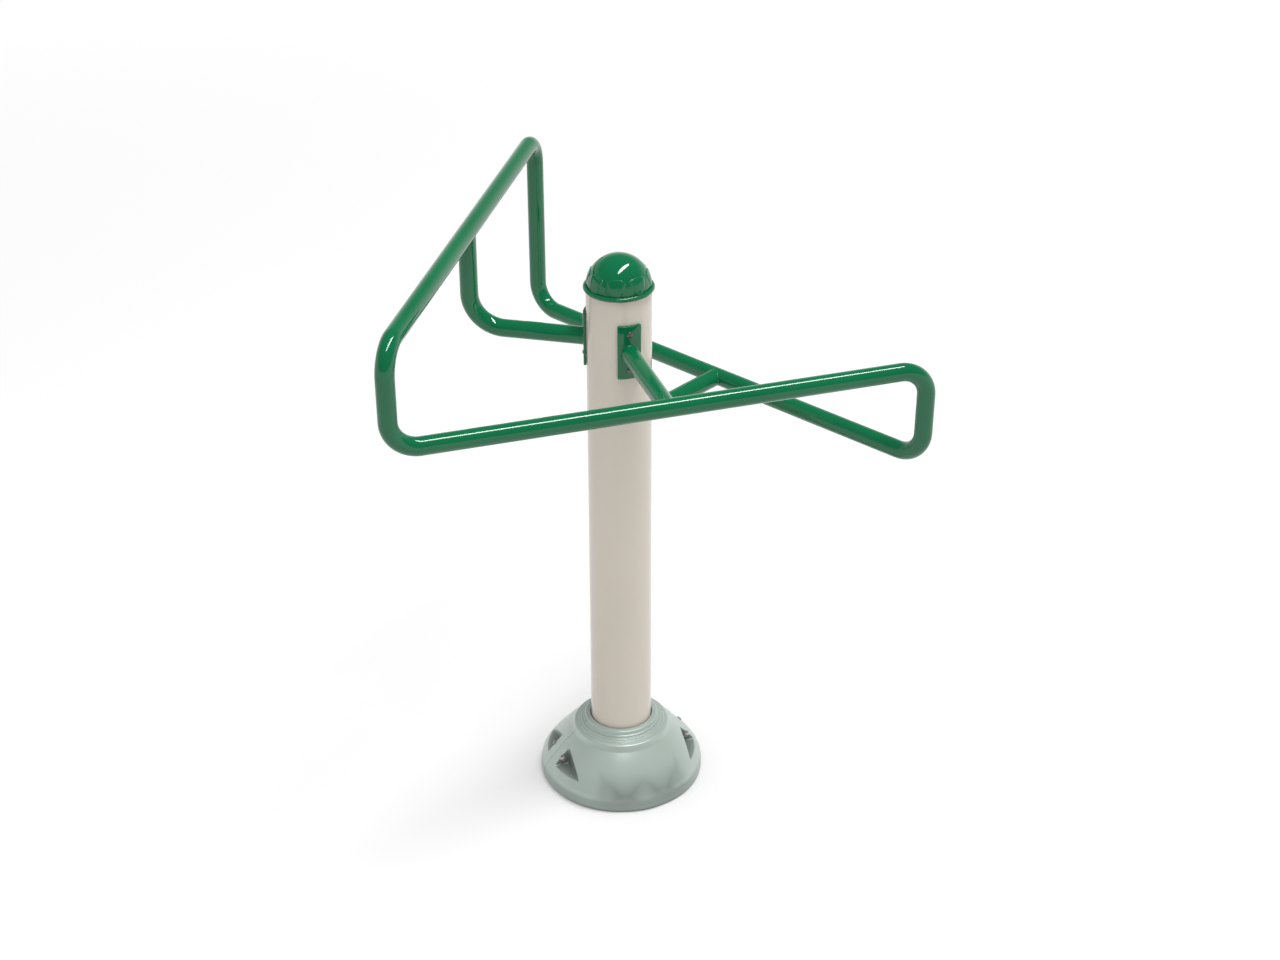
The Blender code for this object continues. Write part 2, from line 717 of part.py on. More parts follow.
def flank_and_skirt(inset):
    """The flank's arc and the fillet that turns it down into the skirt, moved inwards by inset."""
    high = Vector((SHOULDER_RADIUS, 0, SHOULDER_HEIGHT))
    low = Vector((FOOT_RADIUS, 0, SKIRT_HEIGHT))
    chord = low - high
    normal = Vector((-chord.z, 0, chord.x)).normalized()
    radius = (chord.length**2 / 4 + FLANK_BULGE**2) / (2 * FLANK_BULGE)
    centre = (high + low) / 2 - normal * (radius - FLANK_BULGE)
    start = (high - centre).normalized()
    end = (low - centre).normalized()
    arc = [centre + start.slerp(end, i / FLANK_STEPS) * (radius - inset) for i in range(FLANK_STEPS + 1)]
    side = Vector((FOOT_RADIUS - inset, 0, FOOT_UNDERCUT_HEIGHT))
    return flat_points(arc[:-2] + rounded_path([arc[-2], arc[-1], side], SKIRT_FILLET, FILLET_STEPS))


def collar_outline():
    """The collar from its mouth round the post, down its terraces to the rounded ridge."""
    edge = [
        Vector((COLLAR_MOUTH_RADIUS, 0, COLLAR_TOP)),
        Vector((COLLAR_RADIUS, 0, COLLAR_TOP)),
        Vector((COLLAR_RADIUS, 0, TERRACES[0][1])),
    ]
    outline = flat_points(rounded_path(edge, COLLAR_ROUNDING, FILLET_STEPS))
    for (radius, height), (_, next_height) in zip(TERRACES, TERRACES[1:]):
        outline += [(radius, height), (radius, next_height)]
    ridge = [
        Vector((TERRACES[-2][0], 0, TERRACES[-1][1])),
        Vector((TERRACES[-1][0], 0, TERRACES[-1][1])),
        Vector((SHOULDER_RADIUS, 0, SHOULDER_HEIGHT)),
    ]
    return outline + flat_points(rounded_path(ridge, RIDGE_ROUNDING, FILLET_STEPS)[1:-1])


def eased(share):
    """A smooth run from 0 to 1 as the share goes from 0 to 1, and level beyond."""
    share = min(max(share, 0), 1)
    return share * share * (3 - 2 * share)


def hollow_edge(angle):
    """Height of the hollow's lower edge at an angle from the middle of the cover's front or rear."""
    if angle < HOLLOW_LOBE_ANGLE:
        wave = (1 - math.cos(2 * math.pi * angle / HOLLOW_LOBE_ANGLE)) / 2
        return HOLLOW_CREST + (HOLLOW_LOW - HOLLOW_CREST) * wave
    end_share = (angle - HOLLOW_LOBE_ANGLE) / (HOLLOW_END_ANGLE - HOLLOW_LOBE_ANGLE)
    return HOLLOW_CREST + (HOLLOW_TOP - HOLLOW_CREST) * eased(end_share)


def hollow_at(x, y, height):
    """How deep the flank is hollowed there: more and more downwards, then back out over a short ledge."""
    lower_edge = hollow_edge(math.atan2(abs(x), abs(y)))
    span = HOLLOW_TOP - lower_edge
    if not lower_edge < height < HOLLOW_TOP or span < MERGE:
        return 0
    up_share = (height - lower_edge) / span
    reach_share = span / (HOLLOW_TOP - HOLLOW_LOW)
    return HOLLOW_DEPTH * reach_share * (1 - up_share) ** 1.5 * eased(up_share / HOLLOW_LEDGE_SHARE)


def make_cover_body():
    """The whole cover as a solid ring, with the hollows moulded into its flank."""
    lip = COVER_LIP_RADIUS
    mouth_bottom = COLLAR_TOP - COLLAR_MOUTH_DEPTH
    outline = collar_outline() + flank_and_skirt(0)
    outline += [(FOOT_RADIUS - FOOT_UNDERCUT, 0), (lip, 0), (lip, mouth_bottom)]
    outline += [(COLLAR_MOUTH_RADIUS, mouth_bottom)]
    body = bake(turned("cover_body", outline, "cover_grey", COVER_STEPS))
    for vertex in body.data.vertices:
        radius = vertex.co.xy.length
        if radius > SHOULDER_RADIUS:
            vertex.co.xy *= (radius - hollow_at(*vertex.co)) / radius
    work = bmesh.new()
    work.from_mesh(body.data)
    bmesh.ops.triangulate(work, faces=work.faces)
    work.to_mesh(body.data)
    work.free()
    return to_cutter(smooth(body))


def four_ways():
    """The signs of X and Y of the cover's four pockets."""
    return [(x, y) for x in (-1, 1) for y in (-1, 1)]


def pocket_box(name, x_sign, y_sign, grown, rounding=0):
    """The space of one pocket, open outwards and upwards, grown on its closed sides."""
    side = POCKET_SIDE - grown
    back = POCKET_BACK - grown
    far = FOOT_RADIUS + OVERRUN
    high = COLLAR_TOP + OVERRUN
    mesh = bpy.data.meshes.new(name)
    work = bmesh.new()
    bmesh.ops.create_cube(work, size=1)
    for vertex in work.verts:
        x = side if vertex.co.x < 0 else far
        y = back if vertex.co.y < 0 else far
        floor = POCKET_FLOOR - grown - (y - back) * math.tan(POCKET_FLOOR_TILT)
        z = floor if vertex.co.z < 0 else high
        vertex.co = (x_sign * x, y_sign * y, z)
    work.normal_update()
    bmesh.ops.recalc_face_normals(work, faces=work.faces)
    work.to_mesh(mesh)
    work.free()
    box = place(name, mesh, "weld_metal")
    if rounding:
        bevel = box.modifiers.new("Rounding", "BEVEL")
        bevel.width = rounding
        bevel.segments = 1
    return to_cutter(box)


def make_cover_cavity():
    """The room inside the cover, less the walls of the pockets and the bosses of the bolts."""
    ceiling = COLLAR_TOP - COLLAR_LIP_LENGTH
    outline = [(0, ceiling), (TERRACES[-1][0] - COVER_WALL, ceiling)]
    outline += flank_and_skirt(COVER_WALL)
    outline += [(FOOT_RADIUS - COVER_WALL - FOOT_UNDERCUT, -OVERRUN), (0, -OVERRUN)]
    turn = Matrix.Rotation(math.pi / (2 * COVER_STEPS), 4, "Z")
    cavity = to_cutter(turned("cover_cavity", outline, "cover_grey", CAVITY_STEPS, turn, closed=False))
    for x_sign, y_sign in four_ways():
        label = f"{'left' if x_sign < 0 else 'right'}_{'front' if y_sign < 0 else 'rear'}"
        boolean(cavity, pocket_box(f"pocket_wall_{label}", x_sign, y_sign, COVER_WALL))
    for x_sign in (-1, 1):
        start, end = cover_bolt_line(x_sign, POCKET_BACK)
        boolean(cavity, cylinder_cutter(f"cover_boss_{x_sign}", COVER_BOSS_RADIUS, start, end, SMALL_STEPS))
    return cavity


def cover_bolt_line(x_sign, reach):
    """Both ends of a line along a cover bolt, reaching as far to the front as to the rear."""
    centre = Vector((x_sign * COVER_BOLT_X, 0, COVER_BOLT_HEIGHT))
    along = Vector((0, reach, 0))
    return centre - along, centre + along


def half_mesh(body, y_sign):
    """The body's mesh on one side of the seam, closed there with flat faces."""
    mesh = body.data.copy()
    work = bmesh.new()
    work.from_mesh(mesh)
    cut = bmesh.ops.bisect_plane(
        work,
        geom=work.verts[:] + work.edges[:] + work.faces[:],
        dist=MERGE / 10,
        plane_co=(0, 0, 0),
        plane_no=(0, -y_sign, 0),
        clear_outer=True,
    )
    rim = [piece for piece in cut["geom_cut"] if isinstance(piece, bmesh.types.BMEdge)]
    bmesh.ops.edgenet_fill(work, edges=rim)
    bmesh.ops.recalc_face_normals(work, faces=work.faces)
    work.to_mesh(mesh)
    work.free()
    return mesh


def make_cover():
    """The two halves of the base cover, split in the plane of the post's axis and the X axis."""
    body = make_cover_body()
    cavity = make_cover_cavity()
    for name, y_sign in (("front", -1), ("rear", 1)):
        clear_of_seam = Matrix.Translation((0, y_sign * GAP / 2, 0))
        half = place(f"base_cover_{name}", half_mesh(body, y_sign), "cover_grey", clear_of_seam)
        boolean(half, cavity)
        for x_sign in (-1, 1):
            side = "left" if x_sign < 0 else "right"
            boolean(half, pocket_box(f"pocket_{side}_{name}", x_sign, y_sign, 0, POCKET_ROUNDING))
            start, end = cover_bolt_line(x_sign, POCKET_BACK + OVERRUN)
            hole = cylinder_cutter(
                f"cover_hole_{side}_{name}", COVER_BOLT_RADIUS + GAP, start, end, SMALL_STEPS
            )
            boolean(half, hole)
    make_cover_fasteners()


def make_cover_fasteners():
    """Two domed bolts from the front pockets to nuts in the rear ones, each end on a washer."""
    head_seat = POCKET_BACK + 2 * GAP + WASHER_THICKNESS
    nut_seat = head_seat + NUT_HEIGHT
    length = head_seat + nut_seat + COVER_BOLT_TAIL
    washer = [
        (COVER_BOLT_RADIUS + GAP, WASHER_THICKNESS),
        (WASHER_RADIUS, WASHER_THICKNESS),
        (WASHER_RADIUS, 0),
        (COVER_BOLT_RADIUS + GAP, 0),
    ]
    nut_outline = [(0, NUT_HEIGHT), (NUT_RADIUS, NUT_HEIGHT), (NUT_RADIUS, 0), (0, 0)]
    shank = [(COVER_BOLT_RADIUS, 0), (COVER_BOLT_RADIUS, -length), (0, -length)]
    bolt = dome_outline(COVER_BOLT_HEAD_RADIUS, COVER_BOLT_HEAD_HEIGHT) + shank
    for x_sign, side in ((-1, "left"), (1, "right")):
        centre = Vector((x_sign * COVER_BOLT_X, 0, COVER_BOLT_HEIGHT))
        front = Vector((0, -1, 0))
        rear = Vector((0, 1, 0))
        seat = facing(front, centre + front * head_seat)
        turned(f"cover_bolt_{side}", bolt, "zinc_fastener", SMALL_STEPS, seat, closed=False)
        nut_base = centre + rear * head_seat
        nut_frame = facing(rear, nut_base)
        nut = turned(f"cover_nut_{side}", nut_outline, "zinc_fastener", HEX_STEPS, nut_frame, closed=False)
        nut_end = nut_base + rear * (NUT_HEIGHT + OVERRUN)
        nut_start = nut_base - rear * OVERRUN
        bore = COVER_BOLT_RADIUS + GAP
        boolean(nut, cylinder_cutter(f"cover_nut_bore_{side}", bore, nut_start, nut_end, SMALL_STEPS))
        for end, direction in (("front", front), ("rear", rear)):
            washer_frame = facing(direction, centre + direction * (POCKET_BACK + GAP))
            turned(f"cover_washer_{side}_{end}", washer, "zinc_fastener", SMALL_STEPS, washer_frame)


def main():
    make_post()
    make_flange()
    make_gussets()
    make_cap()
    make_loop()
    for name, (angle, height, bar_height) in ARMS.items():
        make_arm(name, angle, height, bar_height)
        make_plate(name, angle, height)
    make_cover()


main()
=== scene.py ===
"""Looks of the double stretching post.

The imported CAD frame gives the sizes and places. The tubes, the plates, the bolts, the post, the cap and
the base cover are remade here as fine, smooth meshes in the same places. The pieces hidden under the
cover and inside the post keep their CAD meshes, and so do the cover's nuts and washers. Every surface
gets a procedural material, and the whole stands on a pale studio floor before the camera of the
photograph.
"""

import json
import math

import bmesh
import bpy
from mathutils import Matrix, Vector


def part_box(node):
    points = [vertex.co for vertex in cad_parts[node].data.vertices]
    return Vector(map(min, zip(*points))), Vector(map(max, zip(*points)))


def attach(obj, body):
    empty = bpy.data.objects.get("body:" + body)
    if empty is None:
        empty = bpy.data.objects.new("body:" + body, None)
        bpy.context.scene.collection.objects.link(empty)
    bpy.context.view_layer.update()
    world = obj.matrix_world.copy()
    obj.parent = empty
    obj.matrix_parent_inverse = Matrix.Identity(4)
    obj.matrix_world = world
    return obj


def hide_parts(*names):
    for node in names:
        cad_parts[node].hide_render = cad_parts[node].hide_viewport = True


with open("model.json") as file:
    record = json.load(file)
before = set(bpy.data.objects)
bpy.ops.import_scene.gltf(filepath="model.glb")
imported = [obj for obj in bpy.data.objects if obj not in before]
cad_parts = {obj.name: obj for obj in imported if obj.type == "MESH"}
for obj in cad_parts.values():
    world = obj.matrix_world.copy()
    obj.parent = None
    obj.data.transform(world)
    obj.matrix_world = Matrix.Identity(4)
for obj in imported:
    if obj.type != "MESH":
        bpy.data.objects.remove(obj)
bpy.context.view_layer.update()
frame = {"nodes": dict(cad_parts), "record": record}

UP = Vector((0, 0, 1))

# Sizes taken from the frame
post_low, post_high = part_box("post_tube")
mid_low, mid_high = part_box("mid_bar")
front_low, front_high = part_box("front_arm")
right_low, right_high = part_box("right_arm")
plate_low, plate_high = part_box("front_arm_plate")
cap_low, cap_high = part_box("dome_cap")
cover_low, cover_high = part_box("base_cover_front")
upper_bolt_low, upper_bolt_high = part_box("plate_bolt_front_upper")
lower_bolt_low, lower_bolt_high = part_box("plate_bolt_front_lower")
cover_bolt_low, cover_bolt_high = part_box("cover_bolt_right")

GAP = 0.0003
OVERRUN = 0.010

# Post, loop and arms. The three bars are evenly stepped
POST_RADIUS = post_high.x
POST_WALL = 0.004
POST_TOP = post_high.z
POST_BOTTOM = post_low.z
TUBE_RADIUS = (front_high.z - front_low.z) / 2
LOOP_INRADIUS = -(mid_low.y + mid_high.y) / 2
LOOP_CORNER_RADIUS = 2 * LOOP_INRADIUS
MID_BAR_HEIGHT = (front_low.z + front_high.z) / 2
LOW_BAR_HEIGHT = (right_low.z + right_high.z) / 2
HIGH_BAR_HEIGHT = 2 * MID_BAR_HEIGHT - LOW_BAR_HEIGHT
LOOP_BEND_RADIUS = 0.062
ARM_BEND_RADIUS = 0.075
WELD_FILLET = 0.0025
WELD_SINK = 0.001

# Each arm: its plan angle, its height at the post and the height of the bar that it holds
ARMS = {
    "front": (-90, MID_BAR_HEIGHT, MID_BAR_HEIGHT),
    "left": (150, MID_BAR_HEIGHT, HIGH_BAR_HEIGHT),
    "right": (30, LOW_BAR_HEIGHT, LOW_BAR_HEIGHT),
}

# Saddle plates and their bolts
PLATE_THICKNESS = 0.006
PLATE_INNER_RADIUS = POST_RADIUS + GAP
PLATE_OUTER_RADIUS = PLATE_INNER_RADIUS + PLATE_THICKNESS
PLATE_HEIGHT = plate_high.z - plate_low.z
PLATE_LIFT = (plate_high.z + plate_low.z) / 2 - MID_BAR_HEIGHT
PLATE_HALF_ANGLE = math.radians(20)
PLATE_EDGE = 0.0007
PLATE_CORNER = 0.0015
BOLT_OFFSET = (upper_bolt_high.z + upper_bolt_low.z - lower_bolt_high.z - lower_bolt_low.z) / 4
BOLT_RADIUS = 0.004
BOLT_HEAD_RADIUS = (upper_bolt_high.x - upper_bolt_low.x) / 2
BOLT_HEAD_HEIGHT = 0.004
BOLT_HEAD_EDGE = 0.0008
BOLT_REACH = 0.018

# Domed cap. The shields' points lie below the rim, so that their sides run down to it
CAP_WALL = 0.003
CAP_RIM_RADIUS = (cap_high.y - cap_low.y) / 2
CAP_RIM_HEIGHT = 0.010
CAP_RIM_BOTTOM = POST_TOP + GAP
CAP_RIM_TOP = CAP_RIM_BOTTOM + CAP_RIM_HEIGHT
CAP_RIM_LIFT = 0.001
CAP_SPIGOT_DEPTH = 0.030
DOME_CENTRE_HEIGHT = CAP_RIM_TOP - CAP_RIM_LIFT
DOME_RADIUS = cap_high.z - DOME_CENTRE_HEIGHT
SHIELD_COUNT = 8
SHIELD_ELEVATION = math.radians(20)
SHIELD_ROWS_TOP = math.radians(40)
SHIELD_RISE = 0.0018
SHIELD_WIDTH = 0.037
SHIELD_TIP_DROP = 0.060
SHIELD_SHOULDER_RISE = 0.008
SHIELD_CROWN_RISE = 0.013
SHIELD_CROWN_WIDTH_SHARE = 0.5
SHIELD_EDGE = 0.0022
SHIELD_TIP_EDGE = 0.0060

# Base cover: the collar's steps run outwards from the post and down from its top
COVER_WALL = 0.005
COLLAR_TOP = cover_high.z
COLLAR_ROUNDING = 0.003
COLLAR_MOUTH_RADIUS = POST_RADIUS + 0.0025
COLLAR_MOUTH_DEPTH = 0.007
COLLAR_RADIUS = COLLAR_MOUTH_RADIUS + 0.012
COLLAR_LIP_LENGTH = 0.025
SHOULDER_WIDTH = 0.030
SHOULDER_DROP = 0.036
SHOULDER_RADIUS = COLLAR_RADIUS + SHOULDER_WIDTH
SHOULDER_HEIGHT = COLLAR_TOP - SHOULDER_DROP
TERRACE_SHARES = [(0.117, 0.278), (0.317, 0.431), (0.517, 0.528), (0.833, 0.611)]
RIDGE_ROUNDING = 0.005
STEP_ROUNDING = 0.0016

# Flank, skirt and the two-lobed hollow in the flank, with heights above the ground
FOOT_RADIUS = cover_high.x
FLANK_BULGE = 0.0045
SKIRT_HEIGHT = 0.032
SKIRT_FILLET = 0.036
FOOT_UNDERCUT = 0.005
FOOT_UNDERCUT_HEIGHT = 0.008
HOLLOW_DEPTH = 0.0048
HOLLOW_LOW = 0.037
HOLLOW_CREST = 0.064
HOLLOW_TOP = 0.092
HOLLOW_LOBE_ANGLE = math.radians(30)
HOLLOW_END_ANGLE = math.radians(41)

# Seam between the cover's halves: each column's distance from it and its inset, as shares of the rounding
SEAM_ROUNDING = 0.0012
SEAM_COLUMN_SHARES = [(0, 1), (0.3, 0.3), (1, 0), (1.8, 0)]

# Pockets and bolts of the cover
POCKET_INSET = 0.053
POCKET_BACK = 0.027
POCKET_FLOOR = 0.054
POCKET_ROUNDING = 0.003
COVER_BOLT_X = (cover_bolt_low.x + cover_bolt_high.x) / 2
COVER_BOLT_HEIGHT = (cover_bolt_low.z + cover_bolt_high.z) / 2
COVER_BOLT_RADIUS = 0.004
COVER_BOLT_HEAD_RADIUS = (cover_bolt_high.z - cover_bolt_low.z) / 2
COVER_BOLT_HEAD_HEIGHT = 0.0045
COVER_BOSS_RADIUS = 0.012

# Facets
ROUND_STEPS = 48
POST_STEPS = 144
SHIELD_STEPS = 48
CAP_STEPS = SHIELD_STEPS * SHIELD_COUNT
CAP_TOP_ROWS = 14
CAP_SHIELD_ROWS = 56
CAVITY_STEPS = 64
BEND_STEPS = 24
FILLET_STEPS = 6
BEVEL_STEPS = 3
POCKET_STEPS = 4
BOLT_DOME_STEPS = 8
PLATE_STRIPS = 24
SMALL_STEPS = 32
FLANK_STEPS = 40
CAVITY_FLANK_STEPS = 10
COVER_STEPS = 120
SEAM_SKIPPED_STEPS = 2
CAVITY_TURN = math.pi / (3 * COVER_STEPS)
SMOOTH_ANGLE = math.radians(32)
MERGE = 0.00001

# Colours
GREEN = (0.0020, 0.120, 0.045)
BEIGE = (0.604, 0.546, 0.474)
GREY_GREEN = (0.390, 0.462, 0.422)
BRIGHT_ZINC = (0.52, 0.50, 0.49)
# Painted shade: a darker copy of the bright zinc, for the plate bolts
SHADED_ZINC = (0.16, 0.145, 0.135)
DARK_CRYSTAL = (0.34, 0.35, 0.36)
LIGHT_CRYSTAL = (0.50, 0.51, 0.52)
DARK_BEAD = (0.16, 0.15, 0.15)
LIGHT_BEAD = (0.34, 0.33, 0.31)

# Painted shade on the cover, darker in the hollows, in the pockets and towards the foot: its share of the
# paint's colour, by depth under the flank's plain arc
SHALLOW_DEPTH = 0.0045
SHALLOW_SHADE = 0.60
RECESS_DEPTH = 0.016
RECESS_SHADE = 0.45
FOOT_SHADE_DROP = 0.006

# Camera of the photograph: place, level direction of view, tilt below the level and lens
CAMERA_PLACE = Vector((-1.2168, -3.9026, 3.1465))
CAMERA_HEADING = Vector((0.3080, 0.9514, 0.0))
CAMERA_TILT = math.radians(30.07)
CAMERA_LENS = 60.31
CAMERA_SENSOR = 36.0

# Studio: the floor, the oval softbox and the backdrop that shines in the round pieces
FLOOR_SIZE = 120.0
FLOOR_COLOUR = 0.62
FLOOR_GLOW = 0.14
FAR_GLOW = 0.50
FAR_GLOW_START = 2.5
FAR_GLOW_END = 11.0
KEY_DIRECTION = Vector((0.20, -0.15, 0.97)).normalized()
KEY_RUN = Vector((0.77, 0.64, 0.0))
KEY_DISTANCE = 9.0
KEY_LENGTH = 9.5
KEY_WIDTH = 1.4
KEY_POWER = 850.0
CEILING_LIGHT = 0.15
HORIZON_TOP = 0.06
BACKDROP_TOP = 0.55
FRONT_TOP = 0.20
FRONT_BLEND = 0.35
SOFT_LIGHT = 0.80


# Materials


class Look:
    """A procedural material and short calls to wire its nodes."""

    def __init__(self, name):
        self.material = bpy.data.materials.new(name)
        self.material.use_nodes = True
        self.nodes = self.material.node_tree.nodes
        self.links = self.material.node_tree.links
        self.shader = self.nodes["Principled BSDF"]
        self.coords = self.nodes.new("ShaderNodeTexCoord").outputs["Object"]

    def stretched(self, scale):
        """The coordinates, scaled along each axis."""
        mapping = self.nodes.new("ShaderNodeMapping")
        mapping.inputs["Scale"].default_value = scale
        self.links.new(self.coords, mapping.inputs["Vector"])
        return mapping.outputs["Vector"]

    def noise(self, scale, detail=3.0, coords=None):
        node = self.nodes.new("ShaderNodeTexNoise")
        node.inputs["Scale"].default_value = scale
        node.inputs["Detail"].default_value = detail
        self.links.new(coords or self.coords, node.inputs["Vector"])
        return node.outputs["Fac"]

    def cells(self, scale):
        node = self.nodes.new("ShaderNodeTexVoronoi")
        node.inputs["Scale"].default_value = scale
        self.links.new(self.coords, node.inputs["Vector"])
        return node.outputs["Color"]

    def between(self, source, low, high, start=0.3, end=0.7):
        """The source's values from start to end, mapped to low and high."""
        node = self.nodes.new("ShaderNodeMapRange")
        node.inputs["From Min"].default_value = start
        node.inputs["From Max"].default_value = end
        node.inputs["To Min"].default_value = low
        node.inputs["To Max"].default_value = high
        self.links.new(source, node.inputs["Value"])
        return node.outputs["Result"]

    def maths(self, operation, *values):
        """A Math node on sources and plain numbers."""
        node = self.nodes.new("ShaderNodeMath")
        node.operation = operation
        for value, socket in zip(values, node.inputs):
            if isinstance(value, bpy.types.NodeSocket):
                self.links.new(value, socket)
            else:
                socket.default_value = value
        return node.outputs["Value"]

    def vectors(self, operation, source):
        """A Vector Math node on a source."""
        node = self.nodes.new("ShaderNodeVectorMath")
        node.operation = operation
        self.links.new(source, node.inputs[0])
        return node

    def colours(self, source, stops):
        """A colour ramp over the source: (position, colour) stops."""
        ramp = self.nodes.new("ShaderNodeValToRGB")
        for element, (position, colour) in zip(ramp.color_ramp.elements, stops):
            element.position = position
            element.color = (*colour, 1.0)
        self.links.new(source, ramp.inputs["Fac"])
        self.links.new(ramp.outputs["Color"], self.shader.inputs["Base Color"])

    def drift(self, source, colour, darkest, lightest, start=0.30, end=0.70):
        """One colour whose shade follows the source."""
        dark = tuple(channel * darkest for channel in colour)
        light = tuple(channel * lightest for channel in colour)
        self.colours(source, [(start, dark), (end, light)])

    def shade(self, source):
        """Multiplies the base colour, already linked, by the source."""
        socket = self.shader.inputs["Base Color"]
        scale = self.vectors("SCALE", socket.links[0].from_socket)
        self.links.new(source, scale.inputs["Scale"])
        self.links.new(scale.outputs["Vector"], socket)

    def roughen(self, source, smoothest, roughest, start=0.3, end=0.7):
        roughness = self.between(source, smoothest, roughest, start, end)
        self.links.new(roughness, self.shader.inputs["Roughness"])

    def bump(self, source, distance, strength):
        node = self.nodes.new("ShaderNodeBump")
        node.inputs["Distance"].default_value = distance
        node.inputs["Strength"].default_value = strength
        self.links.new(source, node.inputs["Height"])
        self.links.new(node.outputs["Normal"], self.shader.inputs["Normal"])

    def uniform(self, socket, value):
        """A value that is the same all over."""
        self.shader.inputs[socket].default_value = value


def green_coat():
    """Glossy powder coat: a faint orange peel, slow drifts of shade and of gloss."""
    look = Look("green_coat_look")
    look.drift(look.noise(scale=7.0), GREEN, darkest=0.95, lightest=1.04, start=0.35, end=0.65)
    look.roughen(look.noise(scale=28.0), smoothest=0.04, roughest=0.07)
    look.bump(look.noise(scale=260.0, detail=2.0), distance=0.00001, strength=0.02)
    look.uniform("Specular IOR Level", 0.48)
    return look.material


def beige_coat():
    """Semi-gloss powder coat with a fine speckle and soft rub marks up the post."""
    look = Look("beige_coat_look")
    streaks = look.noise(scale=5.0, detail=4.0, coords=look.stretched((1.0, 1.0, 0.3)))
    look.drift(streaks, BEIGE, darkest=0.965, lightest=1.02)
    rubs = look.noise(scale=22.0, detail=4.0, coords=look.stretched((1.0, 1.0, 0.25)))
    look.roughen(rubs, smoothest=0.09, roughest=0.14)
    look.bump(look.noise(scale=420.0, detail=2.0), distance=0.00001, strength=0.25)
    return look.material


def flank_depth(look):
    """How far a point of the cover lies inside the flank's plain arc, taken as a parabola over its height:
    the mask of the cover's painted shade.
    """
    height = SHOULDER_HEIGHT - SKIRT_HEIGHT
    slope = (FOOT_RADIUS - SHOULDER_RADIUS) / height
    curve = 4 * FLANK_BULGE * math.hypot(1, slope) / height**2
    flat = look.vectors("MULTIPLY", look.coords)
    flat.inputs[1].default_value = (1, 1, 0)
    radius = look.vectors("LENGTH", flat.outputs["Vector"]).outputs["Value"]
    split = look.nodes.new("ShaderNodeSeparateXYZ")
    look.links.new(look.coords, split.inputs["Vector"])
    # Below the skirt's top the plain arc runs on outwards for FOOT_SHADE_DROP, so the skirt takes painted
    # shade towards the foot
    rise = look.maths("MAXIMUM", look.maths("SUBTRACT", split.outputs["Z"], SKIRT_HEIGHT), -FOOT_SHADE_DROP)
    steepness = look.maths("MULTIPLY_ADD", rise, -curve, curve * height - slope)
    plain_arc = look.maths("MULTIPLY_ADD", rise, steepness, FOOT_RADIUS)
    return look.maths("SUBTRACT", plain_arc, radius)


def cover_grey():
    """Satin paint on cast aluminium: a fine cast grain under the paint, and painted shade in the hollows, the
    pockets and towards the foot.
    """
    look = Look("cover_grey_look")
    look.drift(look.noise(scale=9.0, detail=5.0), GREY_GREEN, darkest=0.97, lightest=1.03)
    depth = flank_depth(look)
    # Painted shade: the paint darkens the deeper the surface lies under the plain arc, in the hollows and
    # more in the pockets
    look.shade(look.between(depth, 1.0, SHALLOW_SHADE, 0.0, SHALLOW_DEPTH))
    look.shade(look.between(depth, 1.0, RECESS_SHADE / SHALLOW_SHADE, SHALLOW_DEPTH, RECESS_DEPTH))
    look.roughen(look.noise(scale=60.0, detail=4.0), smoothest=0.28, roughest=0.34)
    look.bump(look.noise(scale=300.0, detail=2.0), distance=0.00002, strength=0.25)
    look.uniform("Metallic", 0.25)
    look.uniform("Specular IOR Level", 0.70)
    return look.material


def zinc_fastener(name, zinc):
    """Plated steel: a cool sheen, turned marks and a little dulling."""
    look = Look(name)
    look.drift(look.noise(scale=180.0, detail=4.0), zinc, darkest=0.80, lightest=1.08)
    look.roughen(look.noise(scale=420.0), smoothest=0.30, roughest=0.40)
    look.bump(look.noise(scale=600.0), distance=0.00001, strength=0.25)
    look.uniform("Metallic", 0.9)
    return look.material


def galvanised_steel():
    """Hot-dip zinc: flat crystals that differ in shade and gloss."""
    look = Look("galvanised_steel_look")
    crystals = look.cells(scale=90.0)
    look.colours(crystals, [(0.0, DARK_CRYSTAL), (1.0, LIGHT_CRYSTAL)])
    look.roughen(crystals, smoothest=0.36, roughest=0.56, start=0.0, end=1.0)
    look.bump(look.noise(scale=300.0), distance=0.00008, strength=0.3)
    look.uniform("Metallic", 0.85)
    return look.material


def weld_metal():
    """A raw weld bead: ripples and heat tint."""
    look = Look("weld_metal_look")
    look.colours(look.noise(scale=140.0, detail=4.0), [(0.3, DARK_BEAD), (0.7, LIGHT_BEAD)])
    look.roughen(look.noise(scale=250.0), smoothest=0.45, roughest=0.70)
    look.bump(look.noise(scale=320.0, detail=2.0), distance=0.0003, strength=0.6)
    look.uniform("Metallic", 0.85)
    return look.material


LOOKS = {
    "green_coat": green_coat(),
    "beige_coat": beige_coat(),
    "cover_grey": cover_grey(),
    "zinc_fastener": zinc_fastener("zinc_fastener_look", BRIGHT_ZINC),
    # The plate bolts' zinc, darker as painted shade
    "shaded_fastener": zinc_fastener("shaded_fastener_look", SHADED_ZINC),
    "galvanised_steel": galvanised_steel(),
    "weld_metal": weld_metal(),
}


# Building blocks


def dressed(name, mesh, slot, *nodes):
    """A visible piece that stands for CAD nodes and takes their finish."""
    mesh.shade_smooth()
    mesh.set_sharp_from_angle(angle=SMOOTH_ANGLE)
    piece = bpy.data.objects.new(name, mesh)
    bpy.context.scene.collection.objects.link(piece)
    mesh.materials.clear()
    mesh.materials.append(LOOKS[slot])
    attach(piece, "root")
    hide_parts(*nodes)
    return piece


def mesh_from(work, name):
    """The work as a mesh. The work goes."""
    mesh = bpy.data.meshes.new(name)
    work.to_mesh(mesh)
    work.free()
    return mesh


def clean_mesh(work, name):
    """The work as a mesh with its doubled points merged and its faces pointing out."""
    bmesh.ops.remove_doubles(work, verts=work.verts, dist=MERGE)
    bmesh.ops.recalc_face_normals(work, faces=work.faces)
    return mesh_from(work, name)


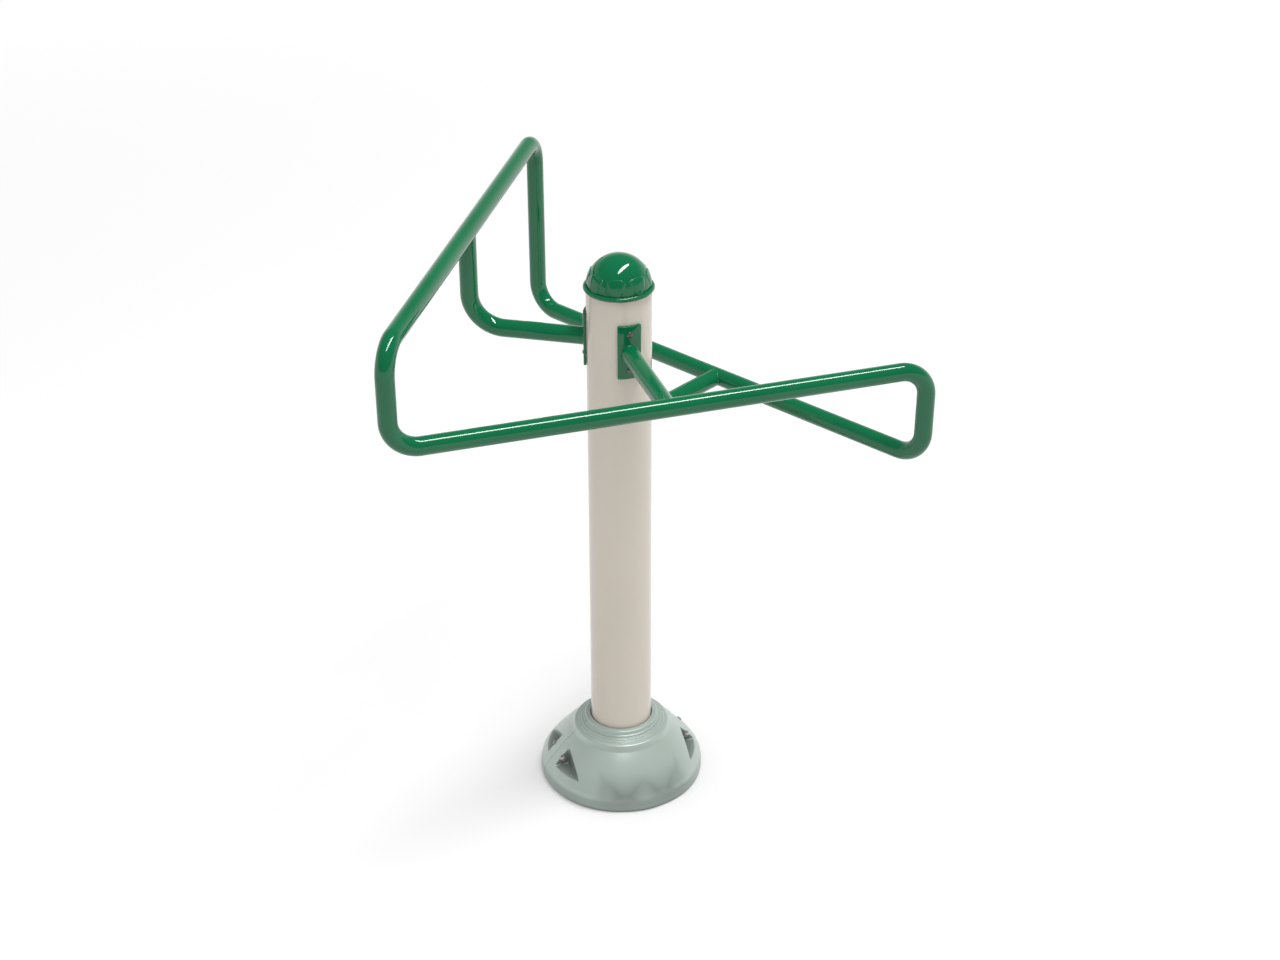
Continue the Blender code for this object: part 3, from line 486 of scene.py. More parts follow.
def skin(work, rows, around=True, along=False):
    """Quads between rows of points that all have the same length."""
    grid = [[work.verts.new(point) for point in row] for row in rows]
    row_pairs = list(zip(grid, grid[1:]))
    if along:
        row_pairs.append((grid[-1], grid[0]))
    for row, next_row in row_pairs:
        count = len(row)
        for i in range(count if around else count - 1):
            j = (i + 1) % count
            work.faces.new((row[i], row[j], next_row[j], next_row[i]))
    return grid


def turns_round(steps):
    return [2 * math.pi * i / steps for i in range(steps)]


def turned(name, outline, steps, closed=True):
    """A solid of revolution about Z from (radius, height) points."""
    turns = turns_round(steps)
    rows = [[(r * math.cos(t), r * math.sin(t), z) for t in turns] for r, z in outline]
    work = bmesh.new()
    skin(work, rows, along=closed)
    bmesh.ops.dissolve_degenerate(work, dist=MERGE, edges=work.edges)
    return clean_mesh(work, name)


def plan_direction(degrees):
    angle = math.radians(degrees)
    return Vector((math.cos(angle), math.sin(angle), 0))


def arc_points(radius, height, start, end, steps):
    """(radius, height) points on a circle about (0, height), from one elevation to another."""
    angles = [start + (end - start) * i / steps for i in range(steps + 1)]
    return [(radius * math.cos(a), height + radius * math.sin(a)) for a in angles]


def corner_arc(before, corner, after, radius, steps):
    """Points of the arc that rounds a corner, tangent to both of its sides."""
    to_before = (before - corner).normalized()
    to_after = (after - corner).normalized()
    half_angle = to_before.angle(to_after) / 2
    centre = corner + (to_before + to_after).normalized() * (radius / math.sin(half_angle))
    start = corner + to_before * (radius / math.tan(half_angle)) - centre
    end = corner + to_after * (radius / math.tan(half_angle)) - centre
    return [centre + start.slerp(end, i / steps) * radius for i in range(steps + 1)]


def eased(share):
    """A smooth run from 0 to 1 as the share goes from 0 to 1, and level beyond."""
    share = min(max(share, 0), 1)
    return share * share * (3 - 2 * share)


def facing(direction, origin):
    """A frame at origin whose +Z points along direction."""
    return Matrix.Translation(origin) @ direction.to_track_quat("Z", "Y").to_matrix().to_4x4()


def framed(x_axis, y_axis, z_axis, origin):
    """A frame at origin with the given axes."""
    return Matrix.Translation(origin) @ Matrix((x_axis, y_axis, z_axis)).transposed().to_4x4()


def helper(mesh):
    """An object used only while meshes are cut."""
    obj = bpy.data.objects.new(mesh.name, mesh)
    bpy.context.scene.collection.objects.link(obj)
    return obj


def cut(mesh, cutters):
    """The mesh less each cutter. The cutters go."""
    obj = helper(mesh)
    for cutter in cutters:
        modifier = obj.modifiers.new("Cut", "BOOLEAN")
        modifier.operation = "DIFFERENCE"
        modifier.solver = "EXACT"
        modifier.object = cutter
    bpy.context.view_layer.update()
    graph = bpy.context.evaluated_depsgraph_get()
    result = bpy.data.meshes.new_from_object(obj.evaluated_get(graph), depsgraph=graph)
    for used in [obj] + cutters:
        bpy.data.objects.remove(used, do_unlink=True)
    return result


# Post


def make_post():
    inner = POST_RADIUS - POST_WALL
    outline = [(inner, POST_TOP), (POST_RADIUS, POST_TOP), (POST_RADIUS, POST_BOTTOM), (inner, POST_BOTTOM)]
    dressed("post_tube_smooth", turned("post_tube_smooth", outline, POST_STEPS), "beige_coat", "post_tube")


# Loop and arms


def tube_ring(centre, side, other):
    """Points of the tube's outline round a point of its axis."""
    turns = turns_round(ROUND_STEPS)
    return [centre + (side * math.cos(t) + other * math.sin(t)) * TUBE_RADIUS for t in turns]


def loop_corners():
    """The six corners of the loop in turn: two, one above the other, at each corner of the triangle."""
    stops = [
        (-30, MID_BAR_HEIGHT, LOW_BAR_HEIGHT),
        (90, LOW_BAR_HEIGHT, HIGH_BAR_HEIGHT),
        (210, HIGH_BAR_HEIGHT, MID_BAR_HEIGHT),
    ]
    corners = []
    for angle, before, after in stops:
        foot = plan_direction(angle) * LOOP_CORNER_RADIUS
        corners += [foot + UP * before, foot + UP * after]
    return corners


def closing_row(rows):
    """The first row again, turned so that each of its points lies nearest to the last row's."""
    first, last = rows[0], rows[-1]
    count = len(first)
    shift = min(range(count), key=lambda s: (first[s] - last[0]).length)
    return [first[(i + shift) % count] for i in range(count)]


def make_loop():
    """One closed run of tube, bent at every corner."""
    corners = loop_corners()
    path = []
    for i, corner in enumerate(corners):
        after = corners[(i + 1) % len(corners)]
        path += corner_arc(corners[i - 1], corner, after, LOOP_BEND_RADIUS, BEND_STEPS)
    rows = []
    side = (path[1] - path[0]).normalized().orthogonal().normalized()
    for i, point in enumerate(path):
        tangent = (path[(i + 1) % len(path)] - path[i - 1]).normalized()
        side = (side - tangent * side.dot(tangent)).normalized()
        rows.append(tube_ring(point, side, tangent.cross(side)))
    rows.append(closing_row(rows))
    work = bmesh.new()
    skin(work, rows)
    dressed("loop_tube", clean_mesh(work, "loop_tube"), "green_coat", "mid_bar", "low_bar", "high_bar")


def fillet_steps():
    """How far a weld's face stands off the tube, and off what the tube meets."""
    angles = [math.pi / 2 * i / FILLET_STEPS for i in range(FILLET_STEPS + 1)]
    return [(WELD_FILLET * (1 - math.sin(a)), WELD_FILLET * (1 - math.cos(a))) for a in angles]


def arm_start_rows(outward, across, height):
    """Rows of the arm's foot on its plate, with the weld's fillet round it."""
    rows = []
    for off_tube, off_plate in [(WELD_FILLET, -WELD_SINK)] + fillet_steps():
        ring = TUBE_RADIUS + off_tube
        row = []
        for turn in turns_round(ROUND_STEPS):
            side = ring * math.cos(turn)
            distance = math.sqrt(PLATE_OUTER_RADIUS**2 - side**2) + off_plate
            row.append(outward * distance + across * side + UP * (height + ring * math.sin(turn)))
        rows.append(row)
    return rows


def arm_bend_rows(outward, across, height, bar_middle):
    """Rows round the bend that turns the arm up to its bar."""
    root = outward * POST_RADIUS + UP * height
    corner = outward * LOOP_INRADIUS + UP * height
    rows = []
    for i, point in enumerate(corner_arc(root, corner, bar_middle, ARM_BEND_RADIUS, BEND_STEPS)):
        tangent = outward.slerp(UP, i / BEND_STEPS)
        rows.append(tube_ring(point, across, tangent.cross(across)))
    return rows


def arm_end_rows(bar_middle, along, across):
    """Rows of the arm's end, coped to the bar, with a fillet that fades out where the tubes are flush."""
    third = along.cross(across)
    rows = []
    for off_tube, off_bar in list(reversed(fillet_steps())) + [(WELD_FILLET, -WELD_SINK)]:
        row = []
        for turn in turns_round(ROUND_STEPS):
            fade = abs(math.cos(turn))
            ring = TUBE_RADIUS + off_tube * fade
            side = ring * math.cos(turn)
            rise = ring * math.sin(turn)
            stand_off = off_bar * fade if off_bar > 0 else off_bar
            reach = math.sqrt(max(TUBE_RADIUS**2 - rise**2, 0)) + stand_off
            row.append(bar_middle - along * reach + across * side + third * rise)
        rows.append(row)
    return rows


def make_arm(name, degrees, height, bar_height):
    """The tube from the plate to the bar, bent up where the bar is higher than the plate."""
    outward = plan_direction(degrees)
    across = UP.cross(outward)
    bar_middle = outward * LOOP_INRADIUS + UP * bar_height
    rows = arm_start_rows(outward, across, height)
    if bar_height > height:
        rows += arm_bend_rows(outward, across, height, bar_middle)
        rows += arm_end_rows(bar_middle, UP, across)
    else:
        rows += arm_end_rows(bar_middle, outward, across)
    work = bmesh.new()
    grid = skin(work, rows)
    for ring in (grid[0], grid[-1]):
        work.faces.new(ring)
    mesh = clean_mesh(work, f"{name}_arm_smooth")
    nodes = [f"{name}_arm", f"{name}_arm_plate_weld", f"{name}_arm_bar_weld"]
    dressed(f"{name}_arm_smooth", mesh, "green_coat", *nodes)


# Saddle plates and their bolts


def plate_outline():
    """The plate's outline laid flat: (angle, height) points with rounded corners."""
    half_width = PLATE_OUTER_RADIUS * PLATE_HALF_ANGLE
    half_height = PLATE_HEIGHT / 2
    outline = []
    for x_sign, y_sign, start in ((1, 1, 0), (-1, 1, 90), (-1, -1, 180), (1, -1, 270)):
        for i in range(FILLET_STEPS + 1):
            angle = math.radians(start + 90 * i / FILLET_STEPS)
            x = x_sign * (half_width - PLATE_CORNER) + PLATE_CORNER * math.cos(angle)
            y = y_sign * (half_height - PLATE_CORNER) + PLATE_CORNER * math.sin(angle)
            outline.append((x, y))
    return outline


def make_plate(name, degrees, height):
    """A saddle plate: its flat outline made a slab, sliced into strips and rolled to the post."""
    work = bmesh.new()
    face = work.faces.new([work.verts.new((x, y, 0)) for x, y in plate_outline()])
    extruded = bmesh.ops.extrude_face_region(work, geom=[face])
    top = [piece for piece in extruded["geom"] if isinstance(piece, bmesh.types.BMVert)]
    bmesh.ops.translate(work, verts=top, vec=(0, 0, PLATE_THICKNESS))
    bmesh.ops.recalc_face_normals(work, faces=work.faces)
    rim = [edge for edge in work.edges if edge.calc_face_angle(0) > SMOOTH_ANGLE]
    bmesh.ops.bevel(work, geom=rim, offset=PLATE_EDGE, segments=BEVEL_STEPS, profile=0.5, affect="EDGES")
    half_width = PLATE_OUTER_RADIUS * PLATE_HALF_ANGLE
    for i in range(1, PLATE_STRIPS):
        x = half_width * (2 * i / PLATE_STRIPS - 1)
        pieces = work.verts[:] + work.edges[:] + work.faces[:]
        bmesh.ops.bisect_plane(work, geom=pieces, dist=MERGE, plane_co=(x, 0, 0), plane_no=(1, 0, 0))
    turn = math.radians(degrees)
    for vertex in work.verts:
        angle = turn + vertex.co.x / PLATE_OUTER_RADIUS
        radius = PLATE_INNER_RADIUS + vertex.co.z
        z = height + PLATE_LIFT + vertex.co.y
        vertex.co = (radius * math.cos(angle), radius * math.sin(angle), z)
    node = f"{name}_arm_plate"
    dressed(f"{node}_smooth", clean_mesh(work, f"{node}_smooth"), "green_coat", node)


def bolt_outline(head_radius, head_height, shank_radius, reach):
    """A domed bolt: a button head with a small upright edge, and a plain shank."""
    dome = head_height - BOLT_HEAD_EDGE
    sphere = (head_radius**2 + dome**2) / (2 * dome)
    rim = math.asin((sphere - dome) / sphere)
    points = arc_points(sphere, head_height - sphere, math.pi / 2, rim, BOLT_DOME_STEPS)
    points[0] = (0, head_height)
    return points + [(head_radius, 0), (shank_radius, 0), (shank_radius, -reach), (0, -reach)]


def make_plate_bolts(name, degrees, height):
    outward = plan_direction(degrees)
    for side, sign in (("upper", 1), ("lower", -1)):
        node = f"plate_bolt_{name}_{side}"
        outline = bolt_outline(BOLT_HEAD_RADIUS, BOLT_HEAD_HEIGHT, BOLT_RADIUS, BOLT_REACH)
        mesh = turned(f"{node}_smooth", outline, SMALL_STEPS, closed=False)
        centre = UP * (height + PLATE_LIFT + sign * BOLT_OFFSET)
        mesh.transform(facing(outward, centre + outward * (PLATE_OUTER_RADIUS + GAP)))
        bolt = dressed(f"{node}_smooth", mesh, "zinc_fastener", node)
        # Painted shade: the plate bolts take the darker copy of the zinc, to stand for the shade on their
        # heads
        bolt.material_slots[0].material = LOOKS["shaded_fastener"]


# Domed cap


def shield_corners():
    half_width = SHIELD_WIDTH / 2
    return [
        Vector((0, -SHIELD_TIP_DROP)),
        Vector((half_width, SHIELD_SHOULDER_RISE)),
        Vector((half_width * SHIELD_CROWN_WIDTH_SHARE, SHIELD_CROWN_RISE)),
        Vector((-half_width * SHIELD_CROWN_WIDTH_SHARE, SHIELD_CROWN_RISE)),
        Vector((-half_width, SHIELD_SHOULDER_RISE)),
    ]


def shield_rise(azimuth, elevation):
    """How far the dome's surface stands out there: a shield's height inside its outline, with a soft edge."""
    period = 2 * math.pi / SHIELD_COUNT
    turn = (azimuth % period) - period / 2
    x = DOME_RADIUS * math.cos(elevation) * math.sin(turn)
    y = DOME_RADIUS * (elevation - SHIELD_ELEVATION)
    corners = shield_corners()
    softness = [SHIELD_TIP_EDGE, SHIELD_EDGE, SHIELD_EDGE, SHIELD_EDGE, SHIELD_TIP_EDGE]
    rise = SHIELD_RISE
    for start, end, edge in zip(corners, corners[1:] + corners[:1], softness):
        inside = (Vector((x, y)) - start).dot(Vector((start.y - end.y, end.x - start.x)).normalized())
        rise *= eased(inside / edge + 0.5)
    return rise


def cap_elevations():
    """Elevations of the dome's rows, from the top down: close together where the shields are."""
    spread = math.pi / 2 - SHIELD_ROWS_TOP
    top = [math.pi / 2 - spread * i / CAP_TOP_ROWS for i in range(1, CAP_TOP_ROWS)]
    shields = [SHIELD_ROWS_TOP * (1 - i / CAP_SHIELD_ROWS) for i in range(CAP_SHIELD_ROWS)]
    return top + shields + [0.0]


def dome_rows(turns):
    """Rows of the dome's outer face, from the top down to the rim."""
    rows = []
    for elevation in cap_elevations():
        row = []
        for turn in turns:
            radius = DOME_RADIUS + shield_rise(turn, elevation)
            height = max(DOME_CENTRE_HEIGHT + radius * math.sin(elevation), CAP_RIM_TOP - CAP_RIM_LIFT)
            level = radius * math.cos(elevation)
            row.append((level * math.cos(turn), level * math.sin(turn), height))
        rows.append(row)
    return rows


def cap_underside():
    """(radius, height) points round the rim, down and up the spigot and over the inside of the dome."""
    half = CAP_RIM_HEIGHT / 2
    rim = arc_points(half, CAP_RIM_BOTTOM + half, math.pi / 2, -math.pi / 2, 2 * FILLET_STEPS)
    outline = [(CAP_RIM_RADIUS - half + r, z) for r, z in rim]
    spigot = POST_RADIUS - POST_WALL - GAP
    foot = CAP_RIM_BOTTOM - CAP_SPIGOT_DEPTH
    outline += [(spigot, CAP_RIM_BOTTOM), (spigot, foot), (spigot - CAP_WALL, foot)]
    inside = arc_points(DOME_RADIUS - CAP_WALL, DOME_CENTRE_HEIGHT, 0, math.pi / 2, FILLET_STEPS)
    return outline + [(spigot - CAP_WALL, CAP_RIM_BOTTOM)] + inside[:-1]


def make_cap():
    turns = turns_round(CAP_STEPS)
    rows = dome_rows(turns)
    for radius, height in cap_underside():
        rows.append([(radius * math.cos(t), radius * math.sin(t), height) for t in turns])
    work = bmesh.new()
    grid = skin(work, rows)
    tips = (DOME_CENTRE_HEIGHT + DOME_RADIUS, DOME_CENTRE_HEIGHT + DOME_RADIUS - CAP_WALL)
    for ring, height in zip((grid[0], grid[-1]), tips):
        tip = work.verts.new((0, 0, height))
        for a, b in zip(ring, ring[1:] + ring[:1]):
            work.faces.new((a, b, tip))
    dressed("dome_cap_smooth", clean_mesh(work, "dome_cap_smooth"), "green_coat", "dome_cap")


# Base cover


def terraces():
    return [
        (COLLAR_RADIUS + SHOULDER_WIDTH * out_share, COLLAR_TOP - SHOULDER_DROP * down_share)
        for out_share, down_share in TERRACE_SHARES
    ]


def flat_points(path):
    return [(point.x, point.z) for point in path]


def collar_outline():
    """The collar from its mouth, down its rounded terraces and over the rounded ridge."""
    steps = terraces()
    corners = [(COLLAR_MOUTH_RADIUS, COLLAR_TOP), (COLLAR_RADIUS, COLLAR_TOP), (COLLAR_RADIUS, steps[0][1])]
    rounding = [COLLAR_ROUNDING, STEP_ROUNDING]
    for (radius, height), (_, next_height) in zip(steps, steps[1:]):
        corners += [(radius, height), (radius, next_height)]
        rounding += [STEP_ROUNDING, STEP_ROUNDING]
    corners += [steps[-1], (SHOULDER_RADIUS, SHOULDER_HEIGHT)]
    rounding.append(RIDGE_ROUNDING)
    points = [Vector((r, 0, z)) for r, z in corners]
    outline = [points[0]]
    for before, corner, after, radius in zip(points, points[1:], points[2:], rounding):
        outline += corner_arc(before, corner, after, radius, FILLET_STEPS)
    return flat_points(outline)


def flank_and_skirt(inset, steps):
    """The flank's arc and the fillet that turns it down into the skirt, moved inwards by inset."""
    high = Vector((SHOULDER_RADIUS, 0, SHOULDER_HEIGHT))
    low = Vector((FOOT_RADIUS, 0, SKIRT_HEIGHT))
    chord = low - high
    normal = Vector((-chord.z, 0, chord.x)).normalized()
    radius = (chord.length**2 / 4 + FLANK_BULGE**2) / (2 * FLANK_BULGE)
    centre = (high + low) / 2 - normal * (radius - FLANK_BULGE)
    start = (high - centre).normalized()
    end = (low - centre).normalized()
    arc = [centre + start.slerp(end, i / steps) * (radius - inset) for i in range(steps + 1)]
    side = Vector((FOOT_RADIUS - inset, 0, FOOT_UNDERCUT_HEIGHT))
    fillet = corner_arc(arc[-2], arc[-1], side, SKIRT_FILLET, 2 * FILLET_STEPS)
    kept = [point for point in arc if point.z > fillet[0].z + SKIRT_FILLET / steps]
    return flat_points(kept + fillet + [side])


def hollow_edge(angle):
    """Height of the hollow's lower edge at an angle from the middle of the cover's front or rear."""
    if angle < HOLLOW_LOBE_ANGLE:
        wave = (1 - math.cos(2 * math.pi * angle / HOLLOW_LOBE_ANGLE)) / 2
        return HOLLOW_CREST + (HOLLOW_LOW - HOLLOW_CREST) * wave
    end_share = (angle - HOLLOW_LOBE_ANGLE) / (HOLLOW_END_ANGLE - HOLLOW_LOBE_ANGLE)
    return HOLLOW_CREST + (HOLLOW_TOP - HOLLOW_CREST) * eased(end_share)


def hollow_at(x, y, height):
    """How deep the flank is hollowed there: more and more down to the lower edge, then less to the ground."""
    lower_edge = hollow_edge(math.atan2(abs(x), abs(y)))
    span = HOLLOW_TOP - lower_edge
    if height > HOLLOW_TOP or span < MERGE:
        return 0
    depth = HOLLOW_DEPTH * span / (HOLLOW_TOP - HOLLOW_LOW)
    if height > lower_edge:
        return depth * ((HOLLOW_TOP - height) / span) ** 2
    return depth * math.sin(math.pi / 2 * height / lower_edge)


def cover_outline():
    """The whole section of the cover as a closed outline, and how many of its points show outside."""
    outline = collar_outline() + flank_and_skirt(0, FLANK_STEPS)
    shown = len(outline)
    lip = POST_RADIUS + GAP
    mouth_bottom = COLLAR_TOP - COLLAR_MOUTH_DEPTH
    outline += [(FOOT_RADIUS - FOOT_UNDERCUT, 0), (lip, 0), (lip, mouth_bottom)]
    outline += [(COLLAR_MOUTH_RADIUS, mouth_bottom)]
    return outline, shown


def outline_normals(outline):
    """Outward directions at the outline's points."""
    normals = []
    for i, _ in enumerate(outline):
        before = Vector(outline[i - 1])
        after = Vector(outline[(i + 1) % len(outline)])
        run = (after - before).normalized()
        normals.append(Vector((-run.y, run.x)))
    return normals


def cover_columns():
    """Columns round one half: (angle, 0, 0, 0), or by the seam (None, side, distance from it, inset)."""
    near = [
        (GAP / 2 + distance_share * SEAM_ROUNDING, inset_share * SEAM_ROUNDING)
        for distance_share, inset_share in SEAM_COLUMN_SHARES
    ]
    columns = [(None, 1, distance, inset) for distance, inset in near]
    for i in range(SEAM_SKIPPED_STEPS, COVER_STEPS - SEAM_SKIPPED_STEPS + 1):
        columns.append((math.pi * i / COVER_STEPS, 0, 0, 0))
    columns += [(None, -1, distance, inset) for distance, inset in reversed(near)]
    return columns


def cover_rows(y_sign):
    """The cover's section set up at each column, drawn in at the seam and hollowed at the flank."""
    outline, shown = cover_outline()
    normals = outline_normals(outline)
    rows = []
    for angle, side, distance, inset in cover_columns():
        row = []
        for i, ((radius, height), normal) in enumerate(zip(outline, normals)):
            outside = 0 < i < shown
            r = radius - normal.x * inset if outside else radius
            z = height - normal.y * inset if outside else height
            if angle is None:
                y = y_sign * distance / r
                x = side * math.sqrt(1 - y * y)
            else:
                x, y = math.cos(angle * y_sign), math.sin(angle * y_sign)
            if outside and radius > SHOULDER_RADIUS:
                r -= hollow_at(x, y, height)
            row.append((r * x, r * y, z))
        rows.append(row)
    return rows


def cover_half(y_sign):
    """One half of the cover as a closed solid ring, without its cavity and pockets."""
    work = bmesh.new()
    grid = skin(work, cover_rows(y_sign))
    for column in (grid[0], grid[-1]):
        work.faces.new(column)
    bmesh.ops.recalc_face_normals(work, faces=work.faces)
    bmesh.ops.triangulate(work, faces=work.faces)
    return mesh_from(work, "cover_half")


def cylinder(start, end, radius, steps):
    axis = end - start
    work = bmesh.new()
    bmesh.ops.create_cone(
        work, cap_ends=True, segments=steps, radius1=radius, radius2=radius, depth=axis.length
    )
    work.transform(facing(axis, (start + end) / 2))
    return helper(mesh_from(work, "cylinder"))


def pocket_box(x_sign, y_sign, grown, rounding):
    """The space of one pocket, open outwards and upwards, grown on its closed sides."""
    side = FOOT_RADIUS - POCKET_INSET - grown
    back = POCKET_BACK - grown
    floor = POCKET_FLOOR - grown
    far = FOOT_RADIUS + OVERRUN
    top = COLLAR_TOP + OVERRUN
    work = bmesh.new()
    bmesh.ops.create_cube(work, size=1)
    for vertex in work.verts:
        x = side if vertex.co.x < 0 else far
        y = back if vertex.co.y < 0 else far
        vertex.co = (x, y, floor if vertex.co.z < 0 else top)
    work.normal_update()
    if rounding:
        bmesh.ops.bevel(
            work, geom=work.edges[:], offset=rounding, segments=POCKET_STEPS, profile=0.5, affect="EDGES"
        )
    bmesh.ops.scale(work, vec=(x_sign, y_sign, 1), verts=work.verts)
    bmesh.ops.recalc_face_normals(work, faces=work.faces)
    return helper(mesh_from(work, "pocket"))


def cover_bolt_line(x_sign, reach):
    """The ends of a line that runs that far to both sides of the seam along a cover bolt's axis."""
    centre = Vector((x_sign * COVER_BOLT_X, 0, COVER_BOLT_HEIGHT))
    along = Vector((0, reach, 0))
    return centre - along, centre + along


def make_cavity():
    """The room inside the cover, less the walls of the pockets and the bosses of the bolts."""
    ceiling = COLLAR_TOP - COLLAR_LIP_LENGTH
    outline = [(0, ceiling), (terraces()[-1][0] - COVER_WALL, ceiling)]
    outline += flank_and_skirt(COVER_WALL, CAVITY_FLANK_STEPS)
    outline += [(FOOT_RADIUS - COVER_WALL - FOOT_UNDERCUT, -OVERRUN), (0, -OVERRUN)]
    room = turned("cavity", outline, CAVITY_STEPS, closed=False)
    # Turned a little, so that no edge of it lies in the seam's plane
    room.transform(Matrix.Rotation(CAVITY_TURN, 4, "Z"))
    walls = [pocket_box(x, y, COVER_WALL, 0) for x in (-1, 1) for y in (-1, 1)]
    for x_sign in (-1, 1):
        walls.append(cylinder(*cover_bolt_line(x_sign, POCKET_BACK), COVER_BOSS_RADIUS, SMALL_STEPS))
    return cut(room, walls)


def make_cover():
    """The two halves of the base cover with their cavity, pockets and bolt holes."""
    cavity = make_cavity()
    for name, y_sign in (("front", -1), ("rear", 1)):
        cutters = [helper(cavity.copy())]
        for x_sign in (-1, 1):
            cutters.append(pocket_box(x_sign, y_sign, 0, POCKET_ROUNDING))
            line = cover_bolt_line(x_sign, POCKET_BACK + OVERRUN)
            cutters.append(cylinder(*line, COVER_BOLT_RADIUS + GAP, SMALL_STEPS))
        node = f"base_cover_{name}"
        work = bmesh.new()
        work.from_mesh(cut(cover_half(y_sign), cutters))
        bmesh.ops.dissolve_degenerate(work, dist=MERGE, edges=work.edges)
        dressed(f"{node}_smooth", clean_mesh(work, f"{node}_smooth"), "cover_grey", node)


def make_cover_bolts():
    for side in ("left", "right"):
        node = f"cover_bolt_{side}"
        low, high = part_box(node)
        reach = high.y - low.y - COVER_BOLT_HEAD_HEIGHT
        outline = bolt_outline(COVER_BOLT_HEAD_RADIUS, COVER_BOLT_HEAD_HEIGHT, COVER_BOLT_RADIUS, reach)
        mesh = turned(f"{node}_smooth", outline, SMALL_STEPS, closed=False)
        seat = Vector(((low.x + high.x) / 2, low.y + COVER_BOLT_HEAD_HEIGHT, (low.z + high.z) / 2))
        mesh.transform(facing(Vector((0, -1, 0)), seat))
        dressed(f"{node}_smooth", mesh, "zinc_fastener", node)


def dress_cad_nodes():
    """Gives the CAD meshes their looks, which show on the pieces that nothing replaces."""
    slots = {row["node"]: row["material_slot"] for row in frame["record"]["subparts"]}
    for name, node in frame["nodes"].items():
        if name in slots and node.type == "MESH":
            for material_slot in node.material_slots:
                material_slot.material = LOOKS[slots[name]]


# Studio


def seen_rays(nodes, links):
    """A factor that is 1 for the rays that show the studio: camera, glossy and transmission rays."""
    path = nodes.new("ShaderNodeLightPath")
    total = path.outputs["Is Camera Ray"]
    for name in ("Is Glossy Ray", "Is Transmission Ray"):
        either = nodes.new("ShaderNodeMath")
        either.operation = "MAXIMUM"
        links.new(total, either.inputs[0])
        links.new(path.outputs[name], either.inputs[1])
        total = either.outputs["Value"]
    return total


def floor_glow(nodes, links):
    """The floor's own light for the rays that show it: a little at the post, more where the lamp fades."""
    distance = nodes.new("ShaderNodeVectorMath")
    distance.operation = "LENGTH"
    links.new(nodes.new("ShaderNodeTexCoord").outputs["Object"], distance.inputs[0])
    level = nodes.new("ShaderNodeMapRange")
    level.interpolation_type = "SMOOTHSTEP"
    level.inputs["From Min"].default_value = FAR_GLOW_START
    level.inputs["From Max"].default_value = FAR_GLOW_END
    level.inputs["To Min"].default_value = FLOOR_GLOW
    level.inputs["To Max"].default_value = FAR_GLOW
    links.new(distance.outputs["Value"], level.inputs["Value"])
    strength = nodes.new("ShaderNodeMath")
    strength.operation = "MULTIPLY"
    links.new(seen_rays(nodes, links), strength.inputs[0])
    links.new(level.outputs["Result"], strength.inputs[1])
    glow = nodes.new("ShaderNodeEmission")
    links.new(strength.outputs["Value"], glow.inputs["Strength"])
    return glow.outputs["Emission"]


def floor_look():
    """A matte pale floor that keeps shadows."""
    material = bpy.data.materials.new("studio_floor_look")
    material.use_nodes = True
    nodes, links = material.node_tree.nodes, material.node_tree.links
    nodes.clear()
    matte = nodes.new("ShaderNodeBsdfDiffuse")
    matte.inputs["Color"].default_value = (FLOOR_COLOUR, FLOOR_COLOUR, FLOOR_COLOUR, 1)
    both = nodes.new("ShaderNodeAddShader")
    links.new(matte.outputs["BSDF"], both.inputs[0])
    links.new(floor_glow(nodes, links), both.inputs[1])
    output = nodes.new("ShaderNodeOutputMaterial")
    links.new(both.outputs["Shader"], output.inputs["Surface"])
    return material


def make_floor():
    work = bmesh.new()
    bmesh.ops.create_grid(work, x_segments=1, y_segments=1, size=FLOOR_SIZE / 2)
    mesh = mesh_from(work, "studio_floor")
    mesh.materials.append(floor_look())
    floor = bpy.data.objects.new("studio_floor", mesh)
    bpy.context.scene.collection.objects.link(floor)


def backdrop(nodes, links, rise, top):
    """White at the horizon, dimmer from there up to top."""
    ramp = nodes.new("ShaderNodeValToRGB")
    horizon, ceiling = ramp.color_ramp.elements
    horizon.position = HORIZON_TOP
    horizon.color = (1, 1, 1, 1)
    ceiling.position = top
    ceiling.color = (CEILING_LIGHT, CEILING_LIGHT, CEILING_LIGHT, 1)
    links.new(rise, ramp.inputs["Fac"])
    return ramp.outputs["Color"]


def shown_world(nodes, links):
    """What the rays that show the world see: the backdrop, lower on the front's side than on the rear's."""
    coords = nodes.new("ShaderNodeTexCoord")
    split = nodes.new("ShaderNodeSeparateXYZ")
    links.new(coords.outputs["Generated"], split.inputs["Vector"])
    side = nodes.new("ShaderNodeMapRange")
    side.interpolation_type = "SMOOTHSTEP"
    side.inputs["From Min"].default_value = -FRONT_BLEND
    side.inputs["From Max"].default_value = FRONT_BLEND
    links.new(split.outputs["Y"], side.inputs["Value"])
    blend = nodes.new("ShaderNodeMix")
    links.new(side.outputs["Result"], blend.inputs["Factor"])
    links.new(backdrop(nodes, links, split.outputs["Z"], FRONT_TOP), blend.inputs["A"])
    links.new(backdrop(nodes, links, split.outputs["Z"], BACKDROP_TOP), blend.inputs["B"])
    shown = nodes.new("ShaderNodeBackground")
    links.new(blend.outputs["Result"], shown.inputs["Color"])
    return shown.outputs["Background"]


